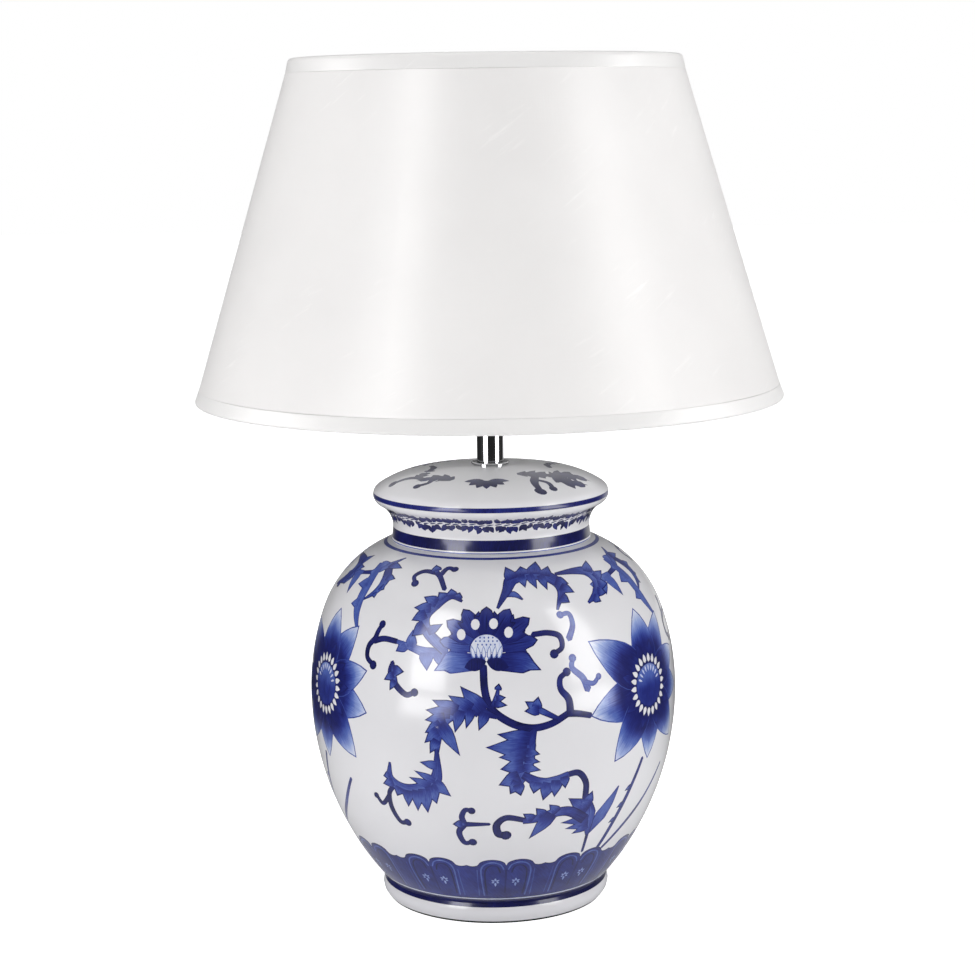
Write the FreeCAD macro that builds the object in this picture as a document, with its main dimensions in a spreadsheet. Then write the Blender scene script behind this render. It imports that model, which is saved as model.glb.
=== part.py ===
import FreeCAD, Part
import os
import re
import Sketcher
from math import atan2, cos, hypot, pi, radians, sin, sqrt

# Ginger jar table lamp: a glazed jar with its lid, clamped by a threaded tube, a chrome stem,
# a screw-in lampholder and bulb, and a tapered drum shade on a wire frame.
# Millimetres, +Z up. The origin is the centre of the underside, where the lamp stands.

V = FreeCAD.Vector
doc = FreeCAD.newDocument("ginger_jar_lamp")
sheet = doc.addObject("Spreadsheet::Sheet", "Dims")

# ---------------------------------------------------------------- driving dimensions
SIZES = {
    # felt and jar: heights are measured from the foot's underside
    "felt_thickness": 1.5,
    "felt_inset": 1.3,
    "foot_radius": 66.8,
    "foot_ring_width": 5.5,
    "bead_height": 11.0,
    "bead_radius": 8.25,
    "bead_top_radius": 67.0,
    "recess_height": 24.0,
    "floor_thickness": 6.0,
    "belly_radius": 110.5,
    "belly_height": 126.8,
    "upper_curve": 150.1,
    "shoulder_drop": 42.0,
    "seat_radius": 60.3,
    "seat_height": 218.4,
    "jar_wall": 5.5,
    "inside_floor_radius": 75.0,
    "neck_root_drop": 2.6,
    "neck_radius": 53.5,
    "neck_wall": 5.0,
    "neck_rise": 12.0,
    # lid: heights are measured from its seat on the shoulder
    "lid_clearance": 0.8,
    "lid_skirt_radius": 59.9,
    "lid_edge_rounding": 0.8,
    "lid_waist_radius": 59.1,
    "lid_waist_height": 8.4,
    "lid_hollow_curve": 15.7,
    "lid_rim_radius": 70.7,
    "lid_rim_roll": 5.9,
    "lid_dome_rise": 16.85,
    "lid_crown_curve": 300.0,
    "lid_crown_radius": 45.0,
    "lid_pad_radius": 13.0,
    "lid_wall": 6.0,
    "lid_inside_drop": 5.6,
    "lid_inside_curve": 170.0,
    # tube that clamps jar and lid, and its fittings under the floor
    "tube_radius": 5.0,
    "tube_bore": 4.0,
    "tube_drop": 15.0,
    "hole_clearance": 0.6,
    "washer_clearance": 0.15,
    "thread_clearance": 0.05,
    "rubber_radius": 20.0,
    "rubber_thickness": 2.0,
    "steel_radius": 17.0,
    "steel_thickness": 2.0,
    "lock_radius": 8.2,
    "lock_thickness": 0.8,
    "lock_teeth": 10,
    "nut_flats": 14.0,
    "nut_thickness": 5.0,
    "bushing_bore": 3.0,
    "bushing_head_radius": 6.4,
    "bushing_head": 2.0,
    "bushing_shank": 8.0,
    # cord gland in the back of the foot
    "gland_height": 14.5,
    "gland_radius": 5.0,
    "gland_bore": 3.25,
    "gland_flange_radius": 7.5,
    "gland_flange": 2.0,
    "gland_nose": 16.5,
    # stem
    "flange_radius": 11.5,
    "flange_thickness": 1.6,
    "flange_rounding": 0.8,
    "stem_radius": 8.0,
    "stem_wall": 1.0,
    "stem_length": 42.0,
    "collar_radius": 9.2,
    "collar_thickness": 2.8,
    # lampholder: heights are measured from the underside of its cap
    "cap_boss_radius": 8.0,
    "cap_boss_height": 8.0,
    "cap_flat_radius": 10.0,
    "cap_shoulder_height": 9.0,
    "cap_curve": 11.0,
    "cap_wall": 2.0,
    "cap_height": 20.0,
    "cap_nut_thickness": 3.0,
    "tube_end": 0.6,
    "core_height": 9.0,
    "core_top": 22.0,
    "core_clearance": 0.1,
    "core_bore": 2.0,
    "skirt_radius": 19.8,
    "skirt_wall": 2.4,
    "skirt_length": 31.0,
    "skirt_lip": 1.6,
    "skirt_collar_radius": 25.0,
    "skirt_collar": 2.0,
    "skirt_collar_rise": 4.0,
    "socket_bore": 13.05,
    "socket_wall": 0.5,
    "socket_height": 24.0,
    "socket_hole": 6.0,
    "contact_width": 4.0,
    "contact_thick": 0.4,
    "contact_reach": 4.6,
    "contact_rise": 2.2,
    "side_contact_rise": 9.0,
    "terminal_inset": 9.6,
    "terminal_length": 5.0,
    "terminal_width": 6.0,
    "terminal_depth": 2.2,
    # ring that holds the shade down
    "ring_clearance": 0.08,
    "ring_radius": 27.0,
    "ring_height": 8.0,
    "ring_flutes": 24,
    "flute_radius": 0.9,
    # shade: its outside, edge to edge
    "shade_bottom_radius": 175.0,
    "shade_top_radius": 114.5,
    "shade_height": 199.5,
    "trim_thickness": 0.5,
    "trim_gap": 0.05,
    "trim_height": 9.0,
    "trim_inside": 6.0,
    "cover_thickness": 0.4,
    "backing_thickness": 0.5,
    "wire_radius": 1.5,
    "wire_inset": 0.3,
    "fitter_hole": 21.0,
    "fitter_radius": 28.0,
    "fitter_thickness": 2.0,
    "fitter_recess": 31.6,
    "arm_radius": 1.5,
    "arm_count": 3,
    "arm_straight": 14.0,
    "arm_bend": 20.0,
    "weld_gap": 0.1,
    # bulb: heights are measured from the tip of its contact
    "tip_gap": 0.2,
    "tip_radius": 4.5,
    "tip_thickness": 1.2,
    "insulator_radius": 12.0,
    "insulator_height": 4.8,
    "bulb_cap_radius": 13.0,
    "bulb_cap_wall": 0.6,
    "bulb_cap_start": 5.3,
    "bulb_cap_end": 27.0,
    "bulb_spigot": 18.0,
    "bulb_gap": 0.1,
    "housing_start_radius": 14.2,
    "housing_curve": 90.0,
    "housing_wall": 1.6,
    "housing_floor": 12.0,
    "globe_radius": 30.0,
    "globe_centre": 75.0,
    "globe_start": 66.0,
    "globe_wall": 1.2,
    "board_thickness": 1.5,
    "board_inset": 3.6,
    "board_drop": 2.5,
}

for row, (alias, value) in enumerate(SIZES.items(), start=1):
    sheet.set(f"A{row}", alias.replace("_", " "))
    sheet.set(f"B{row}", str(value))
    sheet.setAlias(f"B{row}", alias)
doc.recompute()


def bound(formula):
    """The formula with each size read from the sheet."""
    return re.sub(r"[a-z][a-z_]*", lambda word: "Dims." + word[0] if word[0] in SIZES else word[0], str(formula))


def size(formula):
    """The formula's value in millimetres."""
    return formula if isinstance(formula, float) else float(sheet.evalExpression(bound(formula)))


def total(*formulas):
    return " + ".join(f"({formula})" for formula in formulas)


# The lid's hollow curve leaves the waist upright and runs into the rolled rim, which sets the rim's height.
RIM_REACH = "lid_waist_radius + lid_hollow_curve - lid_rim_radius + lid_rim_roll"
RIM_HEIGHT = f"lid_waist_height + sqrt((lid_rim_roll + lid_hollow_curve)^2 - ({RIM_REACH})^2)"
LID_HEIGHT = total(RIM_HEIGHT, "lid_dome_rise")

# ---------------------------------------------------------------- levels, from the ground up
FOOT = "felt_thickness"
FLOOR_UNDERSIDE = total(FOOT, "recess_height")
SEAT = total(FOOT, "seat_height")
PAD = total(SEAT, LID_HEIGHT)
STEM_START = total(PAD, "flange_thickness")
STEM_TOP = total(STEM_START, "stem_length")
HOLDER = total(STEM_TOP, "collar_thickness")
SKIRT = total(HOLDER, "cap_height")
FITTER = total(SKIRT, "skirt_collar_rise + skirt_collar")
SHADE = total(FITTER, "-fitter_recess")
RING = total(FITTER, "fitter_thickness")
CORE_TOP = total(HOLDER, "core_top")
BULB = total(CORE_TOP, "contact_rise + contact_thick + tip_gap")

SUBPARTS = []


# ---------------------------------------------------------------- sketch helpers
def new_body(label, level="0"):
    """An empty body whose own zero height lies at the given level."""
    body = doc.addObject("PartDesign::Body", label)
    body.Label = label
    body.setExpression("Placement.Base.z", bound(level))
    SUBPARTS.append(body)
    return body


def new_sketch(body, role, name):
    sketch = body.newObject("Sketcher::SketchObject", name)
    plane = [item for item in body.Origin.OriginFeatures if item.Role == role][0]
    sketch.AttachmentSupport = [(plane, "")]
    sketch.MapMode = "FlatFace"
    return sketch


def drive(sketch, constraint, formula):
    """Adds a dimension to the sketch and ties it to the formula."""
    index = sketch.addConstraint(constraint)
    sketch.setExpression(f"Constraints[{index}]", bound(formula))


def place(sketch, edge, end, across, up):
    """Fixes a point by its distances from the sketch's two axes."""
    for kind, axis, formula in (("DistanceX", -2, across), ("DistanceY", -1, up)):
        if formula is None:
            continue
        if str(formula) == "0":
            sketch.addConstraint(Sketcher.Constraint("PointOnObject", edge, end, axis))
        else:
            drive(sketch, Sketcher.Constraint(kind, -1, 1, edge, end, size(formula)), formula)


class Bow:
    """An arc of an outline: its radius, and +1 where it bows out to the right of the way round, else -1.
    A centre's distance from either axis is fixed where it is given. A radius given as a number is
    the one that the arc's ends and tangents lead to, so the sketch leaves it free."""

    def __init__(self, radius, side=1, centre_across=None, centre_up=None):
        self.radius = radius
        self.side = side
        self.centre_across = centre_across
        self.centre_up = centre_up

    def driven(self):
        return not isinstance(self.radius, float)

    def centre(self, start, end):
        radius = size(self.radius)
        chord = hypot(end[0] - start[0], end[1] - start[1])
        height = sqrt(max(radius ** 2 - chord ** 2 / 4, 0.0))
        across = (end[0] - start[0]) / chord
        up = (end[1] - start[1]) / chord
        middle = ((start[0] + end[0]) / 2, (start[1] + end[1]) / 2)
        return middle[0] - self.side * up * height, middle[1] + self.side * across * height


def outline(sketch, corners, bows=None):
    """A closed outline. Each corner is a pair of formulas. Where a corner is the tangent point of the
    arcs before and after it, what is free of its two distances is a number.
    bows gives the arc that leaves a corner."""
    bows = bows or {}
    count = len(corners)
    points = [(size(across), size(up)) for across, up in corners]
    edges = []
    for index in range(count):
        start, end = points[index], points[(index + 1) % count]
        bow = bows.get(index)
        if bow is None:
            shape = Part.LineSegment(V(*start, 0), V(*end, 0))
            edges.append((sketch.addGeometry(shape, False), 1, 2))
            continue
        across, up = bow.centre(start, end)
        first, last = (start, end) if bow.side > 0 else (end, start)
        low = atan2(first[1] - up, first[0] - across)
        high = atan2(last[1] - up, last[0] - across)
        if high < low:
            high += 2 * pi
        circle = Part.Circle(V(across, up, 0), V(0, 0, 1), size(bow.radius))
        edge = sketch.addGeometry(Part.ArcOfCircle(circle, low, high), False)
        edges.append((edge, 1, 2) if bow.side > 0 else (edge, 2, 1))
    for index, (across, up) in enumerate(corners):
        before, after = edges[index - 1], edges[index]
        if isinstance(across, float) or isinstance(up, float):
            tangent = Sketcher.Constraint("Tangent", before[0], before[2], after[0], after[1])
            sketch.addConstraint(tangent)
            free = [None if isinstance(value, float) else value for value in (across, up)]
            place(sketch, after[0], after[1], *free)
            continue
        sketch.addConstraint(Sketcher.Constraint("Coincident", before[0], before[2], after[0], after[1]))
        place(sketch, after[0], after[1], across, up)
    for index, bow in bows.items():
        edge = edges[index][0]
        if bow.driven():
            drive(sketch, Sketcher.Constraint("Radius", edge, size(bow.radius)), bow.radius)
        place(sketch, edge, 3, bow.centre_across, bow.centre_up)


def turned(label, level, corners, bows=None):
    """A body turned about the lamp's axis from one outline of (radius, height) corners."""
    body = new_body(label, level)
    sketch = new_sketch(body, "XZ_Plane", label + "_outline")
    outline(sketch, corners, bows)
    feature = body.newObject("PartDesign::Revolution", label + "_turned")
    feature.Profile = sketch
    feature.ReferenceAxis = (sketch, ["V_Axis"])
    feature.Angle = 360
    doc.recompute()
    return body


def ring(label, level, inner, outer, height):
    return turned(label, level, [(inner, "0"), (outer, "0"), (outer, height), (inner, height)])


def pad(body, sketch, name, length, midplane=False):
    feature = body.newObject("PartDesign::Pad", name)
    feature.Profile = sketch
    feature.setExpression("Length", bound(length))
    feature.Midplane = midplane
    doc.recompute()
    return feature


def repeat(body, feature, name, count):
    """Copies a feature round the lamp's axis."""
    pattern = body.newObject("PartDesign::PolarPattern", name)
    pattern.Originals = [feature]
    axis = [item for item in body.Origin.OriginFeatures if item.Role == "Z_Axis"][0]
    pattern.Axis = (axis, [""])
    pattern.Angle = 360
    pattern.setExpression("Occurrences", bound(count))
    body.Tip = pattern
    doc.recompute()
    return pattern


def cut(body, sketch, name, reverse):
    """Cuts a sketch through the body, on one side of the sketch's plane."""
    before = body.Shape.Volume
    feature = body.newObject("PartDesign::Pocket", name)
    feature.Profile = sketch
    feature.Type = 1
    feature.Reversed = reverse
    doc.recompute()
    if body.Shape.Volume >= before:
        raise ValueError(name + " removes nothing")
    return feature


def circle(sketch, across, up, radius):
    shape = Part.Circle(V(size(across), size(up), 0), V(0, 0, 1), size(radius))
    edge = sketch.addGeometry(shape, False)
    place(sketch, edge, 3, across, up)
    drive(sketch, Sketcher.Constraint("Radius", edge, size(radius)), radius)
    return edge


def meeting(first, first_radius, second, second_radius, side):
    """Where two circles cross, to the left (side 1) or right (side -1) of the way from first to second."""
    across, up = second[0] - first[0], second[1] - first[1]
    gap = hypot(across, up)
    along = (gap ** 2 + first_radius ** 2 - second_radius ** 2) / (2 * gap)
    off = sqrt(max(first_radius ** 2 - along ** 2, 0.0))
    unit = (across / gap, up / gap)
    return (first[0] + unit[0] * along - side * unit[1] * off,
            first[1] + unit[1] * along + side * unit[0] * off)


def beyond(start, through, distance):
    """The point at a distance from start, on the way through another point."""
    gap = hypot(through[0] - start[0], through[1] - start[1])
    share = distance / gap
    return (start[0] + (through[0] - start[0]) * share, start[1] + (through[1] - start[1]) * share)


# ---------------------------------------------------------------- jar
def level_arc(low, belly):
    """Radius of the arc that leaves the belly upright and ends at a lower point."""
    across, up = belly[0] - low[0], belly[1] - low[1]
    return (across ** 2 + up ** 2) / (2 * across)


def shoulder(belly, upper, height, top):
    """Tangent point, at a height, of an upright arc from the belly, and the radius of the arc on to the top."""
    up = height - belly[1]
    across = sqrt(upper ** 2 - up ** 2)
    joint = (belly[0] - upper + across, height)
    step = (joint[0] - top[0], joint[1] - top[1])
    lean = (step[0] * across + step[1] * up) / upper
    return joint, hypot(*step) ** 2 / (2 * lean)


def make_jar():
    """Thrown jar: foot ring with a recess under the floor, arched side, seat ring and neck collar."""
    def point(corner):
        return size(corner[0]), size(corner[1])
    foot = ("bead_top_radius", "bead_height")
    belly = ("belly_radius", "belly_height")
    top = ("seat_radius", "seat_height")
    start = "seat_height - shoulder_drop"
    joint, curve = shoulder(point(belly), size("upper_curve"), size(start), point(top))
    floor_top = "recess_height + floor_thickness"
    inner_foot = ("inside_floor_radius", floor_top)
    inner_belly = ("belly_radius - jar_wall", "belly_height")
    inner_top = ("neck_radius - neck_wall", "seat_height - neck_root_drop")
    inner_curve = "upper_curve - jar_wall"
    inner_start = "seat_height - shoulder_drop - jar_wall / 3"
    inner_joint, inner_shoulder = shoulder(point(inner_belly), size(inner_curve), size(inner_start), point(inner_top))
    hole = "tube_radius + hole_clearance"
    recess = "foot_radius - foot_ring_width"
    neck_top = "seat_height + neck_rise"
    corners = [
        (hole, "recess_height"), (recess, "recess_height"), (recess, "0"), ("foot_radius", "0"),
        foot, belly, (joint[0], start), top,
        ("neck_radius", "seat_height"), ("neck_radius", neck_top), ("neck_radius - neck_wall", neck_top),
        inner_top, (inner_joint[0], inner_start), inner_belly, inner_foot, (hole, floor_top)]
    bows = {
        3: Bow("bead_radius"),
        4: Bow(level_arc(point(foot), point(belly)), centre_up="belly_height"),
        5: Bow("upper_curve", centre_up="belly_height"),
        6: Bow(curve),
        11: Bow(inner_shoulder, -1),
        12: Bow(inner_curve, -1, centre_up="belly_height"),
        13: Bow(level_arc(point(inner_foot), point(inner_belly)), -1, centre_up="belly_height")}
    body = turned("jar_body", FOOT, corners, bows)
    sketch = new_sketch(body, "XZ_Plane", "cord_hole")
    circle(sketch, "0", "gland_height", "gland_radius + thread_clearance")
    cut(body, sketch, "cord_hole_cut", reverse=False)


def make_lid():
    """Domed lid: skirt over the jar's neck, waist, hollow curve, rolled rim, dome with a flat pad on top."""
    hollow_centre = (size("lid_waist_radius + lid_hollow_curve"), size("lid_waist_height"))
    rim_centre = (size("lid_rim_radius - lid_rim_roll"), size(RIM_HEIGHT))
    under_rim = beyond(hollow_centre, rim_centre, size("lid_hollow_curve"))
    crown, edge, roll = size("lid_crown_curve"), size("lid_crown_radius"), size("lid_rim_roll")
    crown_up = size(LID_HEIGHT) - sqrt(crown ** 2 - size("lid_pad_radius") ** 2)
    under_crown = (edge, crown_up + sqrt(crown ** 2 - edge ** 2))
    step = (under_crown[0] - rim_centre[0], under_crown[1] - rim_centre[1])
    lean = (step[0] * under_crown[0] + step[1] * (under_crown[1] - crown_up)) / crown
    side = (hypot(*step) ** 2 - roll ** 2) / (2 * (lean - roll))
    side_centre = beyond(under_crown, (0.0, crown_up), side)
    over_rim = beyond(side_centre, rim_centre, side)
    under_crown = ("lid_crown_radius", under_crown[1])
    bore = "neck_radius + lid_clearance"
    inside_top = LID_HEIGHT + " - lid_wall"
    corners = [
        (bore, "0"), ("lid_skirt_radius - lid_edge_rounding", "0"), ("lid_skirt_radius", "lid_edge_rounding"),
        ("lid_waist_radius", "lid_waist_height"), under_rim, over_rim, under_crown,
        ("lid_pad_radius", LID_HEIGHT), ("tube_radius + hole_clearance", LID_HEIGHT),
        ("tube_radius + hole_clearance", inside_top), ("lid_pad_radius", inside_top),
        (bore, inside_top + " - lid_inside_drop")]
    bows = {
        1: Bow("lid_edge_rounding"),
        3: Bow("lid_hollow_curve", -1, centre_up="lid_waist_height"),
        4: Bow("lid_rim_roll", centre_across="lid_rim_radius - lid_rim_roll"),
        5: Bow(side),
        6: Bow("lid_crown_curve", centre_across="0"),
        10: Bow("lid_inside_curve", -1)}
    turned("jar_lid", SEAT, corners, bows)


def make_felt():
    body = new_body("foot_felt")
    sketch = new_sketch(body, "XY_Plane", "felt_circle")
    circle(sketch, "0", "0", "foot_radius - felt_inset")
    pad(body, sketch, "felt_pad", "felt_thickness")


# ---------------------------------------------------------------- tube and its clamp
def make_tube():
    drop = "-tube_drop"
    top = total("seat_height - recess_height", LID_HEIGHT, "flange_thickness + stem_length + collar_thickness")
    top += " + cap_boss_height + cap_nut_thickness + tube_end"
    corners = [("tube_bore", drop), ("tube_radius", drop), ("tube_radius", top), ("tube_bore", top)]
    turned("lamp_tube", FLOOR_UNDERSIDE, corners)


def hexagon(sketch, flats):
    """A regular hexagon about the sketch's origin, with two flats square to its X axis."""
    half = size(flats) / 2
    angles = [radians(30 + 60 * step) for step in range(6)]
    points = [V(half / cos(pi / 6) * cos(a), half / cos(pi / 6) * sin(a), 0) for a in angles]
    edges = [sketch.addGeometry(Part.LineSegment(points[i], points[(i + 1) % 6]), False) for i in range(6)]
    rim = sketch.addGeometry(Part.Circle(V(0, 0, 0), V(0, 0, 1), half / cos(pi / 6)), True)
    sketch.addConstraint(Sketcher.Constraint("Coincident", rim, 3, -1, 1))
    drive(sketch, Sketcher.Constraint("Radius", rim, half / cos(pi / 6)), f"({flats}) / 2 / cos(30)")
    for index, edge in enumerate(edges):
        sketch.addConstraint(Sketcher.Constraint("Coincident", edge, 2, edges[(index + 1) % 6], 1))
        sketch.addConstraint(Sketcher.Constraint("PointOnObject", edge, 1, rim))
        if index:
            sketch.addConstraint(Sketcher.Constraint("Equal", edges[0], edge))
    sketch.addConstraint(Sketcher.Constraint("Vertical", edges[5]))


def make_nut(label, level, thickness):
    body = new_body(label, level)
    sketch = new_sketch(body, "XY_Plane", label + "_hexagon")
    hexagon(sketch, "nut_flats")
    circle(sketch, "0", "0", "tube_radius + thread_clearance")
    pad(body, sketch, label + "_pad", thickness)


def make_clamp():
    """Under the floor, from the top down: rubber washer, steel washer, toothed washer, nut, end bushing."""
    hole = "tube_radius + washer_clearance"
    rubber = total(FLOOR_UNDERSIDE, "-rubber_thickness")
    steel = total(rubber, "-steel_thickness")
    lock = total(steel, "-lock_thickness")
    ring("tube_rubber_washer", rubber, hole, "rubber_radius", "rubber_thickness")
    ring("tube_steel_washer", steel, hole, "steel_radius", "steel_thickness")
    washer = ring("tube_lock_washer", lock, hole, "lock_radius", "lock_thickness")
    notch = new_sketch(washer, "XY_Plane", "lock_notch")
    circle(notch, "lock_radius", "0", "lock_thickness * 1.4")
    repeat(washer, cut(washer, notch, "lock_notch_cut", reverse=True), "lock_notches", "lock_teeth")
    make_nut("tube_nut", total(lock, "-nut_thickness"), "nut_thickness")
    shank = "tube_bore - thread_clearance"
    corners = [
        ("bushing_bore", "-bushing_head"), ("bushing_head_radius", "-bushing_head"),
        ("bushing_head_radius", "0"), (shank, "0"), (shank, "bushing_shank"), ("bushing_bore", "bushing_shank")]
    turned("tube_end_bushing", total(FLOOR_UNDERSIDE, "-tube_drop"), corners)


def make_gland():
    """Flanged bushing in the foot wall, turned about Z and laid down to point out at the back."""
    corners = [
        ("gland_bore", "-gland_flange"), ("gland_flange_radius", "-gland_flange"),
        ("gland_flange_radius", "0"), ("gland_radius", "0"), ("gland_radius", "gland_nose - weld_gap * 8"),
        ("gland_radius - weld_gap * 8", "gland_nose"), ("gland_bore", "gland_nose")]
    body = turned("cord_gland", total(FOOT, "gland_height"), corners)
    body.Placement.Rotation = FreeCAD.Rotation(V(1, 0, 0), -90)
    recess = "(foot_radius - foot_ring_width)"
    body.setExpression("Placement.Base.y", bound(f"sqrt({recess} * {recess} - gland_flange_radius * gland_flange_radius) - weld_gap"))
    doc.recompute()


# ---------------------------------------------------------------- stem and lampholder
def make_stem():
    hole = "tube_radius + washer_clearance"
    edge = "flange_radius - flange_rounding"
    corners = [
        (hole, "0"), ("flange_radius", "0"), ("flange_radius", "flange_thickness - flange_rounding"),
        (edge, "flange_thickness"), (hole, "flange_thickness")]
    turned("lid_flange", PAD, corners, {2: Bow("flange_rounding")})
    ring("stem", STEM_START, "stem_radius - stem_wall", "stem_radius", "stem_length")
    ring("stem_collar", STEM_TOP, hole, "collar_radius", "collar_thickness")


def make_holder():
    """Lampholder: cap on the tube, insulating core with its contacts, socket shell and outer skirt."""
    thread = "tube_radius + thread_clearance"
    outer = "skirt_radius"
    inner = "skirt_radius - cap_wall"
    corners = [
        (thread, "0"), ("cap_flat_radius", "0"), (outer, "cap_shoulder_height"), (outer, "cap_height"),
        (inner, "cap_height"), (inner, "cap_shoulder_height + cap_wall / 2"), ("cap_boss_radius", "cap_wall"),
        ("cap_boss_radius", "cap_boss_height"), (thread, "cap_boss_height")]
    turned("holder_cap", HOLDER, corners, {1: Bow("cap_curve"), 5: Bow("cap_curve", -1)})
    make_nut("holder_cap_nut", total(HOLDER, "cap_boss_height"), "cap_nut_thickness")
    ring("holder_core", total(CORE_TOP, "-core_height"), "core_bore",
         "skirt_radius - skirt_wall - core_clearance", "core_height")
    shell = "socket_bore + socket_wall"
    corners = [
        ("socket_hole", "0"), (shell, "0"), (shell, "socket_height"), ("socket_bore", "socket_height"),
        ("socket_bore", "socket_wall"), ("socket_hole", "socket_wall")]
    turned("holder_shell", CORE_TOP, corners)
    bore = "skirt_radius - skirt_wall"
    low = "skirt_collar_rise"
    high = "skirt_collar_rise + skirt_collar"
    lip = "skirt_length - skirt_lip"
    corners = [
        (bore, "0"), (outer, "0"), (outer, low), ("skirt_collar_radius", low), ("skirt_collar_radius", high),
        (outer, high), (outer, "skirt_length"), (shell + " + core_clearance * 8", "skirt_length"),
        (shell + " + core_clearance * 8", lip), (bore, lip)]
    turned("holder_skirt", SKIRT, corners)
    make_contacts(shell)


def make_contacts(shell):
    """Springy centre contact, side contact up the socket shell, and a pair of screw terminals."""
    reach, thick, rise = "contact_reach", "contact_thick", "contact_rise"
    body = new_body("holder_contact_centre", CORE_TOP)
    sketch = new_sketch(body, "XZ_Plane", "centre_leaf")
    outline(sketch, [
        ("-contact_reach", "0"), ("-contact_reach / 2", "0"), ("0", rise), (reach + " / 2", rise),
        (reach + " / 2", total(rise, thick)), ("0", total(rise, thick)), ("-contact_reach / 2", thick),
        ("-contact_reach", thick)])
    pad(body, sketch, "centre_leaf_pad", "contact_width", midplane=True)
    body = new_body("holder_contact_side", CORE_TOP)
    sketch = new_sketch(body, "XZ_Plane", "side_leaf")
    near = f"-({shell} + weld_gap)"
    far = "-(skirt_radius - skirt_wall - contact_thick)"
    outline(sketch, [
        (far, "0"), (near, "0"), (near, "side_contact_rise"), (total(near, "-contact_thick"), "side_contact_rise"),
        (total(near, "-contact_thick"), thick), (far, thick)])
    pad(body, sketch, "side_leaf_pad", "contact_width", midplane=True)
    body = new_body("holder_terminals", total(CORE_TOP, "-core_height - terminal_depth"))
    sketch = new_sketch(body, "XY_Plane", "terminal_block")
    end = "terminal_inset + terminal_length"
    half = "terminal_width / 2"
    outline(sketch, [("terminal_inset", "-" + half), (end, "-" + half), (end, half), ("terminal_inset", half)])
    block = pad(body, sketch, "terminal_block_pad", "terminal_depth")
    repeat(body, block, "terminal_pair", "2")


def make_shade_ring():
    """Fluted ring that screws down on the shade's fitter."""
    body = ring("holder_shade_ring", RING, "skirt_radius + ring_clearance", "ring_radius", "ring_height")
    sketch = new_sketch(body, "XY_Plane", "ring_flute")
    circle(sketch, "ring_radius", "0", "flute_radius")
    repeat(body, cut(body, sketch, "ring_flute_cut", reverse=True), "ring_flutes_cut", "ring_flutes")


# ---------------------------------------------------------------- shade
def shade_radius(height, inward):
    """Radius of the shade's outside at a height above its lower edge, less a distance inward."""
    slope = "(shade_bottom_radius - shade_top_radius) / shade_height"
    return f"shade_bottom_radius - {slope} * ({height}) - ({inward})"


def shade_band(label, low, high, outer, inner):
    """A conical skin between two heights and two depths below the shade's outside."""
    corners = [
        (shade_radius(low, inner), low), (shade_radius(low, outer), low),
        (shade_radius(high, outer), high), (shade_radius(high, inner), high)]
    return turned(label, SHADE, corners)


COVER_OUTSIDE = "trim_thickness + trim_gap"
BACKING_OUTSIDE = total(COVER_OUTSIDE, "cover_thickness")
BACKING_INSIDE = total(BACKING_OUTSIDE, "backing_thickness")
WIRE_CENTRE = total(BACKING_INSIDE, "wire_radius + wire_inset")
TRIM_INSIDE = total(WIRE_CENTRE, "wire_radius + trim_gap")
EDGE_GAP = "trim_thickness + trim_gap"


def make_trim(label, edge, away):
    """Tape folded over one edge: outside the cover, over the edge, and down inside the wire."""
    def level(distance):
        return f"({edge}) + ({away}) * ({distance})"
    outside, over, inside = level("trim_height"), level("trim_thickness"), level("trim_inside")
    corners = [
        (shade_radius(edge, "0"), edge), (shade_radius(outside, "0"), outside),
        (shade_radius(outside, "trim_thickness"), outside), (shade_radius(over, "trim_thickness"), over),
        (shade_radius(over, TRIM_INSIDE), over), (shade_radius(inside, TRIM_INSIDE), inside),
        (shade_radius(inside, total(TRIM_INSIDE, "trim_thickness")), inside),
        (shade_radius(edge, total(TRIM_INSIDE, "trim_thickness")), edge)]
    turned(label, SHADE, corners)


def make_wire(label, height):
    """One round wire hoop just inside the backing."""
    body = new_body(label, SHADE)
    sketch = new_sketch(body, "XZ_Plane", label + "_section")
    circle(sketch, shade_radius(height, WIRE_CENTRE), height, "wire_radius")
    feature = body.newObject("PartDesign::Revolution", label + "_turned")
    feature.Profile = sketch
    feature.ReferenceAxis = (sketch, ["V_Axis"])
    feature.Angle = 360
    doc.recompute()


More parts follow.
